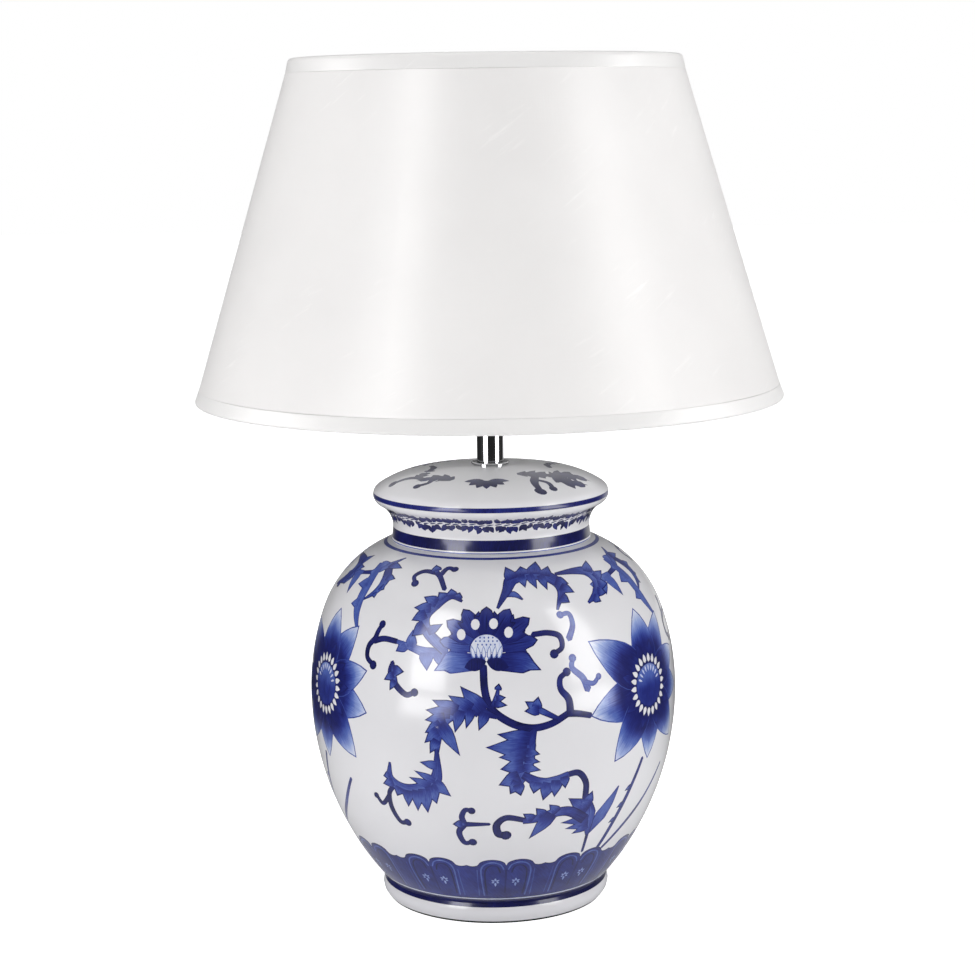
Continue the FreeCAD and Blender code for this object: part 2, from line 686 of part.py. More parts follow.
def make_arms(wire_height):
    """Arms from the fitter ring out and down to the lower hoop: level, a bend, then straight."""
    start = ("fitter_radius + weld_gap", "fitter_recess + fitter_thickness / 2")
    end = (shade_radius(wire_height, total(WIRE_CENTRE, "wire_radius + arm_radius + weld_gap")), wire_height)
    turn = (size(start[0] + " + arm_straight"), size(start[1]))
    bend = size("arm_bend")
    centre = (turn[0], turn[1] - bend)
    finish = (size(end[0]), size(end[1]))
    gap = hypot(finish[0] - centre[0], finish[1] - centre[1])
    touch = meeting(centre, bend, finish, sqrt(gap ** 2 - bend ** 2), 1)
    body = new_body("shade_arms", SHADE)
    path = new_sketch(body, "XZ_Plane", "arm_path")
    level = path.addGeometry(Part.LineSegment(V(size(start[0]), turn[1], 0), V(*turn, 0)), False)
    low, high = atan2(touch[1] - centre[1], touch[0] - centre[0]), pi / 2
    arc = path.addGeometry(Part.ArcOfCircle(Part.Circle(V(*centre, 0), V(0, 0, 1), bend), low, high), False)
    slope = path.addGeometry(Part.LineSegment(V(*touch, 0), V(*finish, 0)), False)
    place(path, level, 1, *start)
    path.addConstraint(Sketcher.Constraint("Horizontal", level))
    drive(path, Sketcher.Constraint("Distance", level, size("arm_straight")), "arm_straight")
    path.addConstraint(Sketcher.Constraint("Tangent", level, 2, arc, 2))
    path.addConstraint(Sketcher.Constraint("Tangent", arc, 1, slope, 1))
    drive(path, Sketcher.Constraint("Radius", arc, bend), "arm_bend")
    place(path, slope, 2, *end)
    section = new_sketch(body, "YZ_Plane", "arm_section")
    section.setExpression("AttachmentOffset.Base.z", bound(start[0]))
    circle(section, "0", start[1], "arm_radius")
    pipe = body.newObject("PartDesign::AdditivePipe", "arm_pipe")
    pipe.Profile = section
    pipe.Spine = path
    doc.recompute()
    repeat(body, pipe, "arm_pattern", "arm_count")
    body.Placement.Rotation = FreeCAD.Rotation(V(0, 0, 1), 30)
    doc.recompute()


def make_shade():
    low_edge, high_edge = EDGE_GAP, f"shade_height - ({EDGE_GAP})"
    shade_band("shade_backing", low_edge, high_edge, BACKING_OUTSIDE, BACKING_INSIDE)
    shade_band("shade_cover", low_edge, high_edge, COVER_OUTSIDE, BACKING_OUTSIDE)
    make_trim("shade_bottom_trim", "0 * shade_height", "1")
    make_trim("shade_top_trim", "shade_height", "-1")
    wire_height = total(EDGE_GAP, "wire_radius + wire_inset")
    make_wire("shade_bottom_wire", wire_height)
    make_wire("shade_top_wire", f"shade_height - ({wire_height})")
    ring("shade_fitter", FITTER, "fitter_hole", "fitter_radius", "fitter_thickness")
    make_arms(wire_height)


# ---------------------------------------------------------------- bulb
def make_bulb():
    """Screw-base bulb: contact, insulator, threaded cap, housing, board and globe."""
    turned("bulb_contact", BULB, [
        ("0", "0"), ("tip_radius / 2", "0"), ("tip_radius", "tip_thickness / 2"), ("tip_radius", "tip_thickness"),
        ("0", "tip_thickness")])
    top = "tip_thickness + insulator_height"
    turned("bulb_insulator", BULB, [
        ("0", "tip_thickness"), ("tip_radius", "tip_thickness"), ("insulator_radius", top + " - tip_thickness"),
        ("insulator_radius", top), ("0", top)])
    bore = "bulb_cap_radius - bulb_cap_wall"
    ring("bulb_cap", total(BULB, "bulb_cap_start"), bore, "bulb_cap_radius", "bulb_cap_end - bulb_cap_start")
    spigot = bore + " - bulb_gap"
    foot = "bulb_cap_end + bulb_gap"
    rim = "sqrt(globe_radius * globe_radius - (globe_centre - globe_start) * (globe_centre - globe_start))"
    floor = total(foot, "housing_floor")
    corners = [
        ("0", foot + " - bulb_spigot"), (spigot, foot + " - bulb_spigot"), (spigot, foot),
        ("housing_start_radius", foot), (rim, "globe_start"), (rim + " - housing_wall", "globe_start"),
        ("housing_start_radius", floor), ("0", floor)]
    turned("bulb_housing", BULB, corners, {3: Bow("housing_curve", -1), 5: Bow("housing_curve", 1)})
    turned("bulb_board", total(BULB, "globe_start - board_drop"), [
        ("0", "0"), (rim + " - board_inset", "0"), (rim + " - board_inset", "board_thickness"),
        ("0", "board_thickness")])
    inner_rim = f"sqrt((globe_radius - globe_wall)^2 - (globe_centre - globe_start)^2)"
    corners = [
        (rim, "globe_start"), ("0", "globe_centre + globe_radius"),
        ("0", "globe_centre + globe_radius - globe_wall"), (inner_rim, "globe_start")]
    globe_bows = {
        0: Bow("globe_radius"),
        2: Bow("globe_radius - globe_wall", -1)}
    turned_globe(corners)


def turned_globe(corners):
    """Globe: two concentric arcs of more than a quarter turn, so each is drawn from its centre."""
    body = new_body("bulb_globe", BULB)
    sketch = new_sketch(body, "XZ_Plane", "bulb_globe_outline")
    edges = []
    for radius, corner in (("globe_radius", corners[0]), ("globe_radius - globe_wall", corners[3])):
        start = atan2(size(corner[1]) - size("globe_centre"), size(corner[0]))
        centre = V(0, size("globe_centre"), 0)
        arc = Part.ArcOfCircle(Part.Circle(centre, V(0, 0, 1), size(radius)), start, pi / 2)
        edge = sketch.addGeometry(arc, False)
        place(sketch, edge, 3, "0", "globe_centre")
        drive(sketch, Sketcher.Constraint("Radius", edge, size(radius)), radius)
        place(sketch, edge, 1, None, "globe_start")
        sketch.addConstraint(Sketcher.Constraint("PointOnObject", edge, 2, -2))
        edges.append(edge)
    outer, inner = edges
    for end in (1, 2):
        first = sketch.getPoint(outer, end)
        last = sketch.getPoint(inner, end)
        line = sketch.addGeometry(Part.LineSegment(first, last), False)
        sketch.addConstraint(Sketcher.Constraint("Coincident", outer, end, line, 1))
        sketch.addConstraint(Sketcher.Constraint("Coincident", inner, end, line, 2))
    feature = body.newObject("PartDesign::Revolution", "bulb_globe_turned")
    feature.Profile = sketch
    feature.ReferenceAxis = (sketch, ["V_Axis"])
    feature.Angle = 360
    doc.recompute()


# ---------------------------------------------------------------- build, check and write
def check():
    """Every object is sound and every sub-part a valid solid."""
    for item in doc.Objects:
        if "Invalid" in item.State or "Error" in item.State:
            raise ValueError(f"{item.Label} failed: {item.State}")
    for body in SUBPARTS:
        shape = body.Shape
        if shape.isNull() or not shape.isValid() or not shape.Solids:
            raise ValueError(body.Label + " has no valid solid")


def write():
    os.makedirs("parts", exist_ok=True)
    for body in SUBPARTS:
        body.Shape.exportStep(f"parts/{body.Label}.step")
        box = body.Shape.BoundBox
        print(f"{body.Label:24s} solids {len(body.Shape.Solids)}  volume {body.Shape.Volume / 1000:8.2f} cm3"
              f"  z {box.ZMin:7.2f} to {box.ZMax:7.2f}  half-width {box.XMax:7.2f}")


make_felt()
make_jar()
make_lid()
make_tube()
make_clamp()
make_gland()
make_stem()
make_holder()
make_shade_ring()
make_shade()
make_bulb()
doc.recompute()
check()
write()
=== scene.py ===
# %% [markdown]
# # Ginger jar table lamp
# The lamp is a porcelain jar and lid, painted in cobalt blue, with a plated stem and a tapered satin shade.
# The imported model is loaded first. It stays where it is: everything made here is built round it, and takes
# its sizes from the model's boxes where it can.

# %% Load the frame
from math import atan2, cos, floor, hypot, pi, radians, sin, sqrt

import bmesh
import bpy
import numpy as np
from mathutils import Matrix, Vector
from mathutils.geometry import delaunay_2d_cdt


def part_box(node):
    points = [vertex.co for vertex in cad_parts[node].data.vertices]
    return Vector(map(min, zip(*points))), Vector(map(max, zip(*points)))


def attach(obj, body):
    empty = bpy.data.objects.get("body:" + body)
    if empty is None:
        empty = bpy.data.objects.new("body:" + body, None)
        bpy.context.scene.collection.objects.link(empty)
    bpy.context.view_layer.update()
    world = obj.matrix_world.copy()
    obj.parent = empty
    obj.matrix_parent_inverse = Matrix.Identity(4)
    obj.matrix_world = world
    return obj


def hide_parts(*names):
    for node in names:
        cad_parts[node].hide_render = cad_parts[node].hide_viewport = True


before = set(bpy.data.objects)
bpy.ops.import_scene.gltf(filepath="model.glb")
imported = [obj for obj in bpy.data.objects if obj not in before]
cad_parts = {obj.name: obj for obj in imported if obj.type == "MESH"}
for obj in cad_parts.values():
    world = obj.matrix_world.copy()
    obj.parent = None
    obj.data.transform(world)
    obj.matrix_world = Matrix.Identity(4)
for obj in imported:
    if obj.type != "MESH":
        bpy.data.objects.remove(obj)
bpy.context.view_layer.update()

MM = 0.001

# %% [markdown]
# ## Node helpers
# A material is a small graph of nodes. It could be wired by hand in the shader editor; in a script, a few
# short functions keep each graph readable. `link` accepts a socket or a plain value, and puts a plain value
# straight on the input, so that no node is spent on a constant.

# %% Node helpers


def link(tree, value, socket):
    if isinstance(value, bpy.types.NodeSocket):
        tree.links.new(value, socket)
    else:
        socket.default_value = value


def node(tree, kind, settings=None, **inputs):
    """A node with its settings and inputs: i0 is the first input, Base_Color the one called Base Color."""
    made = tree.nodes.new(kind)
    for key, value in (settings or {}).items():
        setattr(made, key, value)
    for key, value in inputs.items():
        by_number = key[0] == "i" and key[1:].isdigit()
        link(tree, value, made.inputs[int(key[1:]) if by_number else key.replace("_", " ")])
    return made


def maths(tree, operation, first, second=0.0, third=0.0, clamp=False):
    settings = {"operation": operation, "use_clamp": clamp}
    made = node(tree, "ShaderNodeMath", settings, i0=first, i1=second, i2=third)
    return made.outputs[0]


def ramp(tree, factor, stops, ease="LINEAR"):
    """A colour ramp. stops is a list of (place, linear colour)."""
    made = node(tree, "ShaderNodeValToRGB", Fac=factor)
    made.color_ramp.interpolation = ease
    while len(made.color_ramp.elements) < len(stops):
        made.color_ramp.elements.new(0.5)
    for element, (place, colour) in zip(made.color_ramp.elements, stops):
        element.position = place
        element.color = (*colour, 1.0)
    return made.outputs["Color"]


def object_place(tree, scale=(1.0, 1.0, 1.0)):
    """The place on the object, in metres, stretched by a scale."""
    place = node(tree, "ShaderNodeTexCoord").outputs["Object"]
    return node(tree, "ShaderNodeMapping", Vector=place, Scale=scale).outputs["Vector"]


def noise(tree, vector, scale, detail=3.0, roughness=0.5):
    return node(tree, "ShaderNodeTexNoise", Vector=vector, Scale=scale, Detail=detail,
                Roughness=roughness).outputs["Fac"]


def bump(tree, height, strength, distance):
    return node(tree, "ShaderNodeBump", Height=height, Strength=strength, Distance=distance).outputs["Normal"]


def material(name, build):
    """A material whose nodes are made by build(tree, shader)."""
    made = bpy.data.materials.new(name)
    made.use_nodes = True
    build(made.node_tree, made.node_tree.nodes["Principled BSDF"])
    return made


def shader_set(tree, shader, **inputs):
    for key, value in inputs.items():
        link(tree, value, shader.inputs[key.replace("_", " ")])


# %% [markdown]
# ## Glazed porcelain
# The real jar is painted on raw clay and then glazed, so the blue lies under a clear coat. The painting
# could be an image, but ink edges would blur up close. Here it lives in a mesh attribute: its first channel
# is how strong the cobalt is, the other two follow the brush. Noise along the brush gives streaks, and a
# ramp turns strength into ink.

# %% Porcelain
PORCELAIN = (0.73, 0.725, 0.745)
INK = [
    (0.00, PORCELAIN), (0.10, (0.60, 0.64, 0.76)), (0.30, (0.28, 0.36, 0.64)), (0.50, (0.075, 0.125, 0.42)),
    (0.70, (0.020, 0.034, 0.235)), (0.86, (0.009, 0.012, 0.125)), (1.00, (0.005, 0.006, 0.055))]


def porcelain(tree, shader):
    paint = node(tree, "ShaderNodeAttribute", {"attribute_name": "paint"})
    parts = node(tree, "ShaderNodeSeparateColor", Color=paint.outputs["Color"])
    brush = node(tree, "ShaderNodeCombineXYZ", X=parts.outputs["Green"], Y=parts.outputs["Blue"], Z=0.0)
    streak = noise(tree, node(tree, "ShaderNodeMapping", Vector=brush.outputs["Vector"],
                              Scale=(26.0, 2.2, 1.0)).outputs["Vector"], 1.0, 3.0)
    wash = noise(tree, object_place(tree), 130.0, 3.0)
    pool = noise(tree, object_place(tree), 22.0, 2.0)
    streak = maths(tree, "MULTIPLY_ADD", streak, 0.34, -0.17)
    wash = maths(tree, "MULTIPLY_ADD", wash, 0.22, -0.11)
    pool = maths(tree, "MULTIPLY_ADD", pool, 0.20, -0.10)
    change = maths(tree, "ADD", maths(tree, "ADD", streak, wash), pool)
    inked = maths(tree, "GREATER_THAN", parts.outputs["Red"], 0.02)
    strength = maths(tree, "MULTIPLY_ADD", change, inked, parts.outputs["Red"], clamp=True)
    ink = ramp(tree, strength, INK)
    grey = maths(tree, "MULTIPLY_ADD", noise(tree, object_place(tree), 9.0, 2.0), 0.05, 0.975)
    tint = node(tree, "ShaderNodeMix", {"data_type": "RGBA", "blend_type": "MULTIPLY"}, Factor=1.0, A=ink,
                B=node(tree, "ShaderNodeCombineColor", Red=grey, Green=grey, Blue=grey).outputs["Color"])
    ripple = noise(tree, object_place(tree), 35.0, 2.0)
    grain = noise(tree, object_place(tree), 420.0, 1.0)
    height = maths(tree, "MULTIPLY_ADD", grain, 0.06, ripple)
    shader_set(tree, shader, Base_Color=tint.outputs["Result"], Roughness=0.30, IOR=1.5,
               Specular_IOR_Level=0.2, Coat_Weight=1.0, Coat_Roughness=0.14,
               Normal=bump(tree, height, 0.10, 0.002))


PORCELAIN_GLAZE = material("porcelain_glaze", porcelain)
print(PORCELAIN_GLAZE.name, "with", len(INK), "steps of ink")

# %% [markdown]
# ## Felt
# The jar stands on a disc of felt. Felt has no weave: a fine noise gives the fibres, a wider one the
# clumps, and sheen gives the light that the nap catches at its edge.

# %% Felt


def felt(tree, shader):
    fibre = noise(tree, object_place(tree, (1.0, 1.0, 0.3)), 1500.0, 6.0, 0.7)
    clump = noise(tree, object_place(tree), 160.0, 3.0)
    both = maths(tree, "MULTIPLY_ADD", clump, 0.5, fibre)
    colour = ramp(tree, both, [(0.45, (0.006, 0.008, 0.007)), (0.95, (0.035, 0.042, 0.038))])
    shader_set(tree, shader, Base_Color=colour, Roughness=0.95, Sheen_Weight=0.5, Sheen_Roughness=0.4,
               Normal=bump(tree, fibre, 0.8, 0.0005))


FELT = material("felt", felt)
print(FELT.name, "made")

# %% [markdown]
# ## Effects that materials share
# Moulding grain, polishing rings and screw threads come back on many small parts. Their nodes could be
# copied into every material. As a node group, each effect is built once, and a material only gives it its
# own values.

# %% Group helpers
NUMBER, COLOUR, VECTOR = "NodeSocketFloat", "NodeSocketColor", "NodeSocketVector"


def group(name, inputs, outputs, build):
    """A node group with named inputs and outputs. build(tree, given, made) joins the one to the other."""
    tree = bpy.data.node_groups.new(name, "ShaderNodeTree")
    for label, kind in inputs.items():
        tree.interface.new_socket(label, in_out="INPUT", socket_type=kind)
    for label, kind in outputs.items():
        tree.interface.new_socket(label, in_out="OUTPUT", socket_type=kind)
    given = tree.nodes.new("NodeGroupInput")
    made = tree.nodes.new("NodeGroupOutput")
    build(tree, given.outputs, made.inputs)
    return tree


def shared(tree, effect, **inputs):
    """The outputs of a group that is placed in a material with its own values."""
    placed = tree.nodes.new("ShaderNodeGroup")
    placed.node_tree = effect
    for key, value in inputs.items():
        link(tree, value, placed.inputs[key.replace("_", " ")])
    return placed.outputs


def dimmed(tree, colour, factor, start, end, share):
    """The colour: a share of itself where the factor is under start, and whole where it is over end."""
    strength = node(tree, "ShaderNodeMapRange", Value=factor, From_Min=start, From_Max=end, To_Min=share)
    scaled = node(tree, "ShaderNodeVectorMath", {"operation": "SCALE"}, i0=colour,
                  Scale=strength.outputs["Result"])
    return scaled.outputs["Vector"]


# %% [markdown]
# ## Metals
# The stem is plated and mirror bright, the nuts are dull zinc, the contacts brass and the bulb's cap
# aluminium. All were turned or drawn, so all have faint rings across the axis and smudged gloss. Only the
# numbers differ. A thread is too fine to model on a hidden part: its ridges are a wave that climbs one
# pitch in each turn.

# %% Metals


def polished(tree, given, made):
    smudge = noise(tree, object_place(tree), 60.0, 4.0)
    least = maths(tree, "MULTIPLY_ADD", given["Wear"], -0.5, given["Roughness"])
    link(tree, maths(tree, "MULTIPLY_ADD", smudge, given["Wear"], least), made["Roughness"])
    rings = noise(tree, object_place(tree, (0.02, 0.02, 1.0)), given["Ring Scale"], 2.0)
    link(tree, bump(tree, rings, given["Ring Strength"], 0.0002), made["Normal"])


def ridged(tree, given, made):
    place = node(tree, "ShaderNodeSeparateXYZ", Vector=object_place(tree))
    round_axis = maths(tree, "ARCTAN2", place.outputs["Y"], place.outputs["X"])
    climb = maths(tree, "DIVIDE", place.outputs["Z"], given["Pitch"])
    turns = maths(tree, "MULTIPLY_ADD", round_axis, -1 / (2 * pi), climb)
    wave = maths(tree, "SINE", maths(tree, "MULTIPLY", turns, 2 * pi))
    link(tree, bump(tree, wave, 0.9, given["Depth"]), made["Normal"])


POLISHED = group("polished_metal",
                 {"Roughness": NUMBER, "Wear": NUMBER, "Ring Scale": NUMBER, "Ring Strength": NUMBER},
                 {"Roughness": NUMBER, "Normal": VECTOR}, polished)
SCREW_THREAD = group("screw_thread", {"Pitch": NUMBER, "Depth": NUMBER}, {"Normal": VECTOR}, ridged)


def metal(colour, roughness, ring_scale, ring_strength, wear=0.06):
    def build(tree, shader):
        finish = shared(tree, POLISHED, Roughness=roughness, Wear=wear, Ring_Scale=ring_scale,
                        Ring_Strength=ring_strength)
        shader_set(tree, shader, Base_Color=(*colour, 1.0), Metallic=1.0, Roughness=finish["Roughness"],
                   Normal=finish["Normal"])
    return build


def threaded(base, pitch, depth):
    """The same finish, with a screw thread's ridges in place of its grain."""
    def build(tree, shader):
        base(tree, shader)
        shader_set(tree, shader, Normal=shared(tree, SCREW_THREAD, Pitch=pitch, Depth=depth)["Normal"])
    return build


BULB_PITCH = 3.629 * MM
plating = metal((0.78, 0.78, 0.80), 0.07, 900.0, 0.03)
zinc = metal((0.60, 0.61, 0.62), 0.32, 700.0, 0.2, 0.12)
brass = metal((0.80, 0.58, 0.24), 0.24, 600.0, 0.1, 0.1)
aluminium = metal((0.72, 0.72, 0.72), 0.28, 600.0, 0.1)
PLATING = material("chrome_plating", plating)
ZINC = material("zinc_plating", zinc)
ZINC_THREAD = material("zinc_thread", threaded(zinc, 1.0 * MM, 0.0004))
BRASS = material("brass", brass)
BRASS_THREAD = material("brass_thread", threaded(brass, BULB_PITCH, 0.0009))
ALUMINIUM = material("aluminium", aluminium)
ALUMINIUM_THREAD = material("aluminium_thread", threaded(aluminium, BULB_PITCH, 0.0009))
print("metals made with", POLISHED.name, "and", SCREW_THREAD.name)

# %% [markdown]
# ## Plastics, rubber, ceramic core and painted wire
# The lampholder is moulded, its core is pressed ceramic and the shade's wire is powder coated. Seen close,
# each has a fine grain and a slightly uneven gloss and colour, so one effect serves them all.

# %% Plastics


def moulded(tree, given, made):
    mottle = noise(tree, object_place(tree), 40.0, 3.0)
    link(tree, dimmed(tree, given["Colour"], mottle, 0.35, 0.65, 0.95), made["Colour"])
    smoothest = maths(tree, "SUBTRACT", given["Roughness"], 0.04)
    link(tree, maths(tree, "MULTIPLY_ADD", mottle, 0.08, smoothest), made["Roughness"])
    grain = noise(tree, object_place(tree), given["Grain Scale"], 2.0)
    link(tree, bump(tree, grain, given["Grain Strength"], 0.0002), made["Normal"])


MOULDED = group("moulded_surface", {"Colour": COLOUR, "Roughness": NUMBER, "Grain Scale": NUMBER,
                                    "Grain Strength": NUMBER},
                {"Colour": COLOUR, "Roughness": NUMBER, "Normal": VECTOR}, moulded)


def plastic(colour, roughness, grain_scale=900.0, grain_strength=0.12):
    def build(tree, shader):
        finish = shared(tree, MOULDED, Colour=(*colour, 1.0), Roughness=roughness, Grain_Scale=grain_scale,
                        Grain_Strength=grain_strength)
        shader_set(tree, shader, Base_Color=finish["Colour"], Roughness=finish["Roughness"],
                   Normal=finish["Normal"])
    return build


holder_white = plastic((0.80, 0.79, 0.75), 0.30)
HOLDER = material("holder_plastic", holder_white)
HOLDER_THREAD = material("holder_thread", threaded(holder_white, 2.5 * MM, 0.0009))
BUSHING = material("bushing_plastic", plastic((0.70, 0.69, 0.66), 0.5))
RUBBER = material("rubber", plastic((0.020, 0.020, 0.020), 0.75, 500.0, 0.4))
CORE = material("core_ceramic", plastic((0.75, 0.73, 0.68), 0.7, 1200.0, 0.4))
WIRE = material("white_powder_coat", plastic((0.80, 0.80, 0.78), 0.38, 1600.0, 0.5))
BULB_BLACK = material("bulb_black", plastic((0.012, 0.012, 0.013), 0.2))
BULB_WHITE = material("bulb_white", plastic((0.82, 0.82, 0.81), 0.35))
BULB_GLOBE = material("bulb_diffuser", plastic((0.88, 0.87, 0.84), 0.42, 2500.0, 0.2))
print("plastics made with", MOULDED.name)

# %% [markdown]
# ## Shade fabric
# The shade is covered in pale satin: threads too fine to count, long uneven slubs, and fine slanting
# crinkles that come in patches. They could be modelled as folds, but they are thinner than a hair, so noise
# that is stretched along the cloth draws them. The cover and the tapes share the cloth and differ in colour
# and in depth.

# %% Shade materials
CLOTH_ROUND = 0.9
CRINKLE_LEAN = 0.55
CRINKLE_LENGTH = 0.034
CRINKLE_WIDTH = 0.0034


def unrolled_cloth(tree):
    """Metres round the shade, roughly, and metres up it."""
    place = node(tree, "ShaderNodeSeparateXYZ", Vector=object_place(tree))
    turn = maths(tree, "ARCTAN2", place.outputs["X"], maths(tree, "MULTIPLY", place.outputs["Y"], -1.0))
    across = maths(tree, "MULTIPLY", maths(tree, "MULTIPLY", turn, 1 / (2 * pi)), CLOTH_ROUND)
    return node(tree, "ShaderNodeCombineXYZ", X=across, Y=place.outputs["Z"], Z=0.0).outputs["Vector"]


def satin_cloth(tree, given, made):
    cloth = unrolled_cloth(tree)
    slub_place = node(tree, "ShaderNodeMapping", Vector=cloth, Scale=(900.0, 22.0, 1.0)).outputs["Vector"]
    slub = noise(tree, slub_place, 1.0, 4.0, 0.6)
    weft_place = node(tree, "ShaderNodeMapping", Vector=cloth, Scale=(18.0, 1500.0, 1.0)).outputs["Vector"]
    weft = noise(tree, weft_place, 1.0, 3.0)
    slanted = node(tree, "ShaderNodeMapping", {"vector_type": "TEXTURE"}, Vector=cloth,
                   Rotation=(0.0, 0.0, CRINKLE_LEAN),
                   Scale=(CRINKLE_LENGTH, CRINKLE_WIDTH, 1.0)).outputs["Vector"]
    crinkle = node(tree, "ShaderNodeMapRange", Value=noise(tree, slanted, 1.0, 5.0, 0.62), From_Min=0.56,
                   From_Max=0.68).outputs["Result"]
    patch = node(tree, "ShaderNodeMapRange", Value=noise(tree, object_place(tree), 26.0, 3.0), From_Min=0.55,
                 From_Max=0.66).outputs["Result"]
    crinkle = maths(tree, "MULTIPLY", crinkle, patch)
    cloud = maths(tree, "MULTIPLY", noise(tree, object_place(tree), 12.0, 4.0), 0.25)
    tone = maths(tree, "MULTIPLY_ADD", crinkle, 0.13, cloud)
    link(tree, dimmed(tree, given["Colour"], tone, 0.04, 0.26, 0.90), made["Colour"])
    height = maths(tree, "MULTIPLY_ADD", slub, 0.5, maths(tree, "MULTIPLY_ADD", weft, 0.4, crinkle))
    link(tree, bump(tree, height, 0.22, given["Weave Depth"]), made["Normal"])


SATIN_CLOTH = group("satin_cloth", {"Colour": COLOUR, "Weave Depth": NUMBER},
                    {"Colour": COLOUR, "Normal": VECTOR},
                    satin_cloth)


def satin(colour, weave_depth):
    def build(tree, shader):
        cloth = shared(tree, SATIN_CLOTH, Colour=(*colour, 1.0), Weave_Depth=weave_depth)
        shader_set(tree, shader, Base_Color=cloth["Colour"], Roughness=0.36, Specular_IOR_Level=0.35,
                   Sheen_Weight=0.05, Sheen_Roughness=0.35, Normal=cloth["Normal"])
    return build


SATIN = material("shade_satin", satin((0.88, 0.865, 0.855), 0.0004))
TAPE = material("shade_tape", satin((0.87, 0.86, 0.85), 0.0006))
LINING = material("shade_lining", plastic((0.86, 0.86, 0.85), 0.55, 1400.0, 0.15))
print("shade materials made with", SATIN_CLOTH.name)

# %% [markdown]
# ## Finish of the model's pieces
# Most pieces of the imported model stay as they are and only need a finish. The pottery and the cloth get one
# too, though new pieces take their place below.

# %% Assign materials
FINISH = {
    "foot_felt": FELT, "lamp_tube": ZINC_THREAD, "tube_rubber_washer": RUBBER, "tube_steel_washer": ZINC,
    "tube_lock_washer": ZINC, "tube_nut": ZINC, "tube_end_bushing": BUSHING, "cord_gland": BUSHING,
    "lid_flange": PLATING, "stem": PLATING, "stem_collar": PLATING, "holder_cap": HOLDER,
    "holder_cap_nut": ZINC,
    "holder_core": CORE, "holder_shell": BRASS_THREAD, "holder_skirt": HOLDER_THREAD,
    "holder_contact_centre": BRASS, "holder_contact_side": BRASS, "holder_terminals": BRASS,
    "holder_shade_ring": HOLDER, "shade_backing": LINING, "shade_cover": SATIN, "shade_bottom_trim": TAPE,
    "shade_top_trim": TAPE, "shade_bottom_wire": WIRE, "shade_top_wire": WIRE, "shade_fitter": WIRE,
    "shade_arms": WIRE, "bulb_contact": BRASS, "bulb_insulator": BULB_BLACK, "bulb_cap": ALUMINIUM_THREAD,
    "bulb_housing": BULB_WHITE, "bulb_board": ALUMINIUM, "bulb_globe": BULB_GLOBE,
    "jar_body": PORCELAIN_GLAZE,
    "jar_lid": PORCELAIN_GLAZE}
for name, finish in FINISH.items():
    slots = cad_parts[name].data.materials
    slots.clear()
    slots.append(finish)
print("finished", len(FINISH), "of", len(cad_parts), "pieces")

# %% [markdown]
# ## Outlines of the turned pottery
# The jar and the lid were turned on a wheel, so half an outline is all that they are. It is drawn again
# here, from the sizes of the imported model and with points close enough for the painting. Heights are
# millimetres above the table; the jar stands on felt, so its own heights start there.

# %% Drawing an outline
FELT_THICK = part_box("foot_felt")[1].z / MM
SEAT = FELT_THICK + 218.4
print("jar starts at", round(FELT_THICK, 2), "mm and carries its lid at", round(SEAT, 2), "mm")


def arc(start, end, centre, step=2.6):
    """Points after start, on the short way round a centre to the end."""
    first = atan2(start[1] - centre[1], start[0] - centre[0])
    turn = (atan2(end[1] - centre[1], end[0] - centre[0]) - first + pi) % (2 * pi) - pi
    radius = hypot(start[0] - centre[0], start[1] - centre[1])
    count = max(3, int(abs(turn) * radius / step))
    angles = [first + turn * index / count for index in range(1, count + 1)]
    return [(centre[0] + radius * cos(angle), centre[1] + radius * sin(angle)) for angle in angles]


def line(start, end, step=4.0):
    count = max(1, int(hypot(end[0] - start[0], end[1] - start[1]) / step))
    return [(start[0] + (end[0] - start[0]) * i / count, start[1] + (end[1] - start[1]) * i / count)
            for i in range(1, count + 1)]


INSIDE_STEP = 8.0
FLOOR_STEP = 15.0


def bow_centre(start, end, radius, side=1):
    """Centre of an arc from start to end that bows to the right of the way for side 1, to the left for -1."""
    chord = hypot(end[0] - start[0], end[1] - start[1])
    off = sqrt(radius ** 2 - chord ** 2 / 4) * side
    return ((start[0] + end[0]) / 2 - (end[1] - start[1]) / chord * off,
            (start[1] + end[1]) / 2 + (end[0] - start[0]) / chord * off)


def level_centre(low, belly):
    radius = ((belly[0] - low[0]) ** 2 + (belly[1] - low[1]) ** 2) / (2 * (belly[0] - low[0]))
    return belly[0] - radius, belly[1]


# %% [markdown]
# The jar's side is four arcs that run into each other without a kink. Where one meets the next is worked
# out from its radius, so only the sizes that were measured are written down.

# %% Jar outline
FOOT_RADIUS, BEAD_RADIUS, BEAD_HEIGHT, BEAD_CURVE = 66.8, 67.0, 11.0, 8.25
BELLY_RADIUS, BELLY_HEIGHT, UPPER_CURVE, UPPER_HEIGHT = 110.5, 126.8, 150.1, 176.4
SEAT_RADIUS, COLLAR_RADIUS, COLLAR_RISE, MOUTH_RADIUS = 60.3, 53.5, 12.0, 48.5
THROAT_DROP, INNER_SHOULDER_CURVE, INNER_BELLY_RADIUS, INNER_FOOT_RADIUS = 2.6, 85.0, 104.0, 75.0
FLOOR_TOP, FLOOR_UNDER, FOOT_RECESS, TUBE_HOLE = 30.0, 24.0, 61.3, 5.6


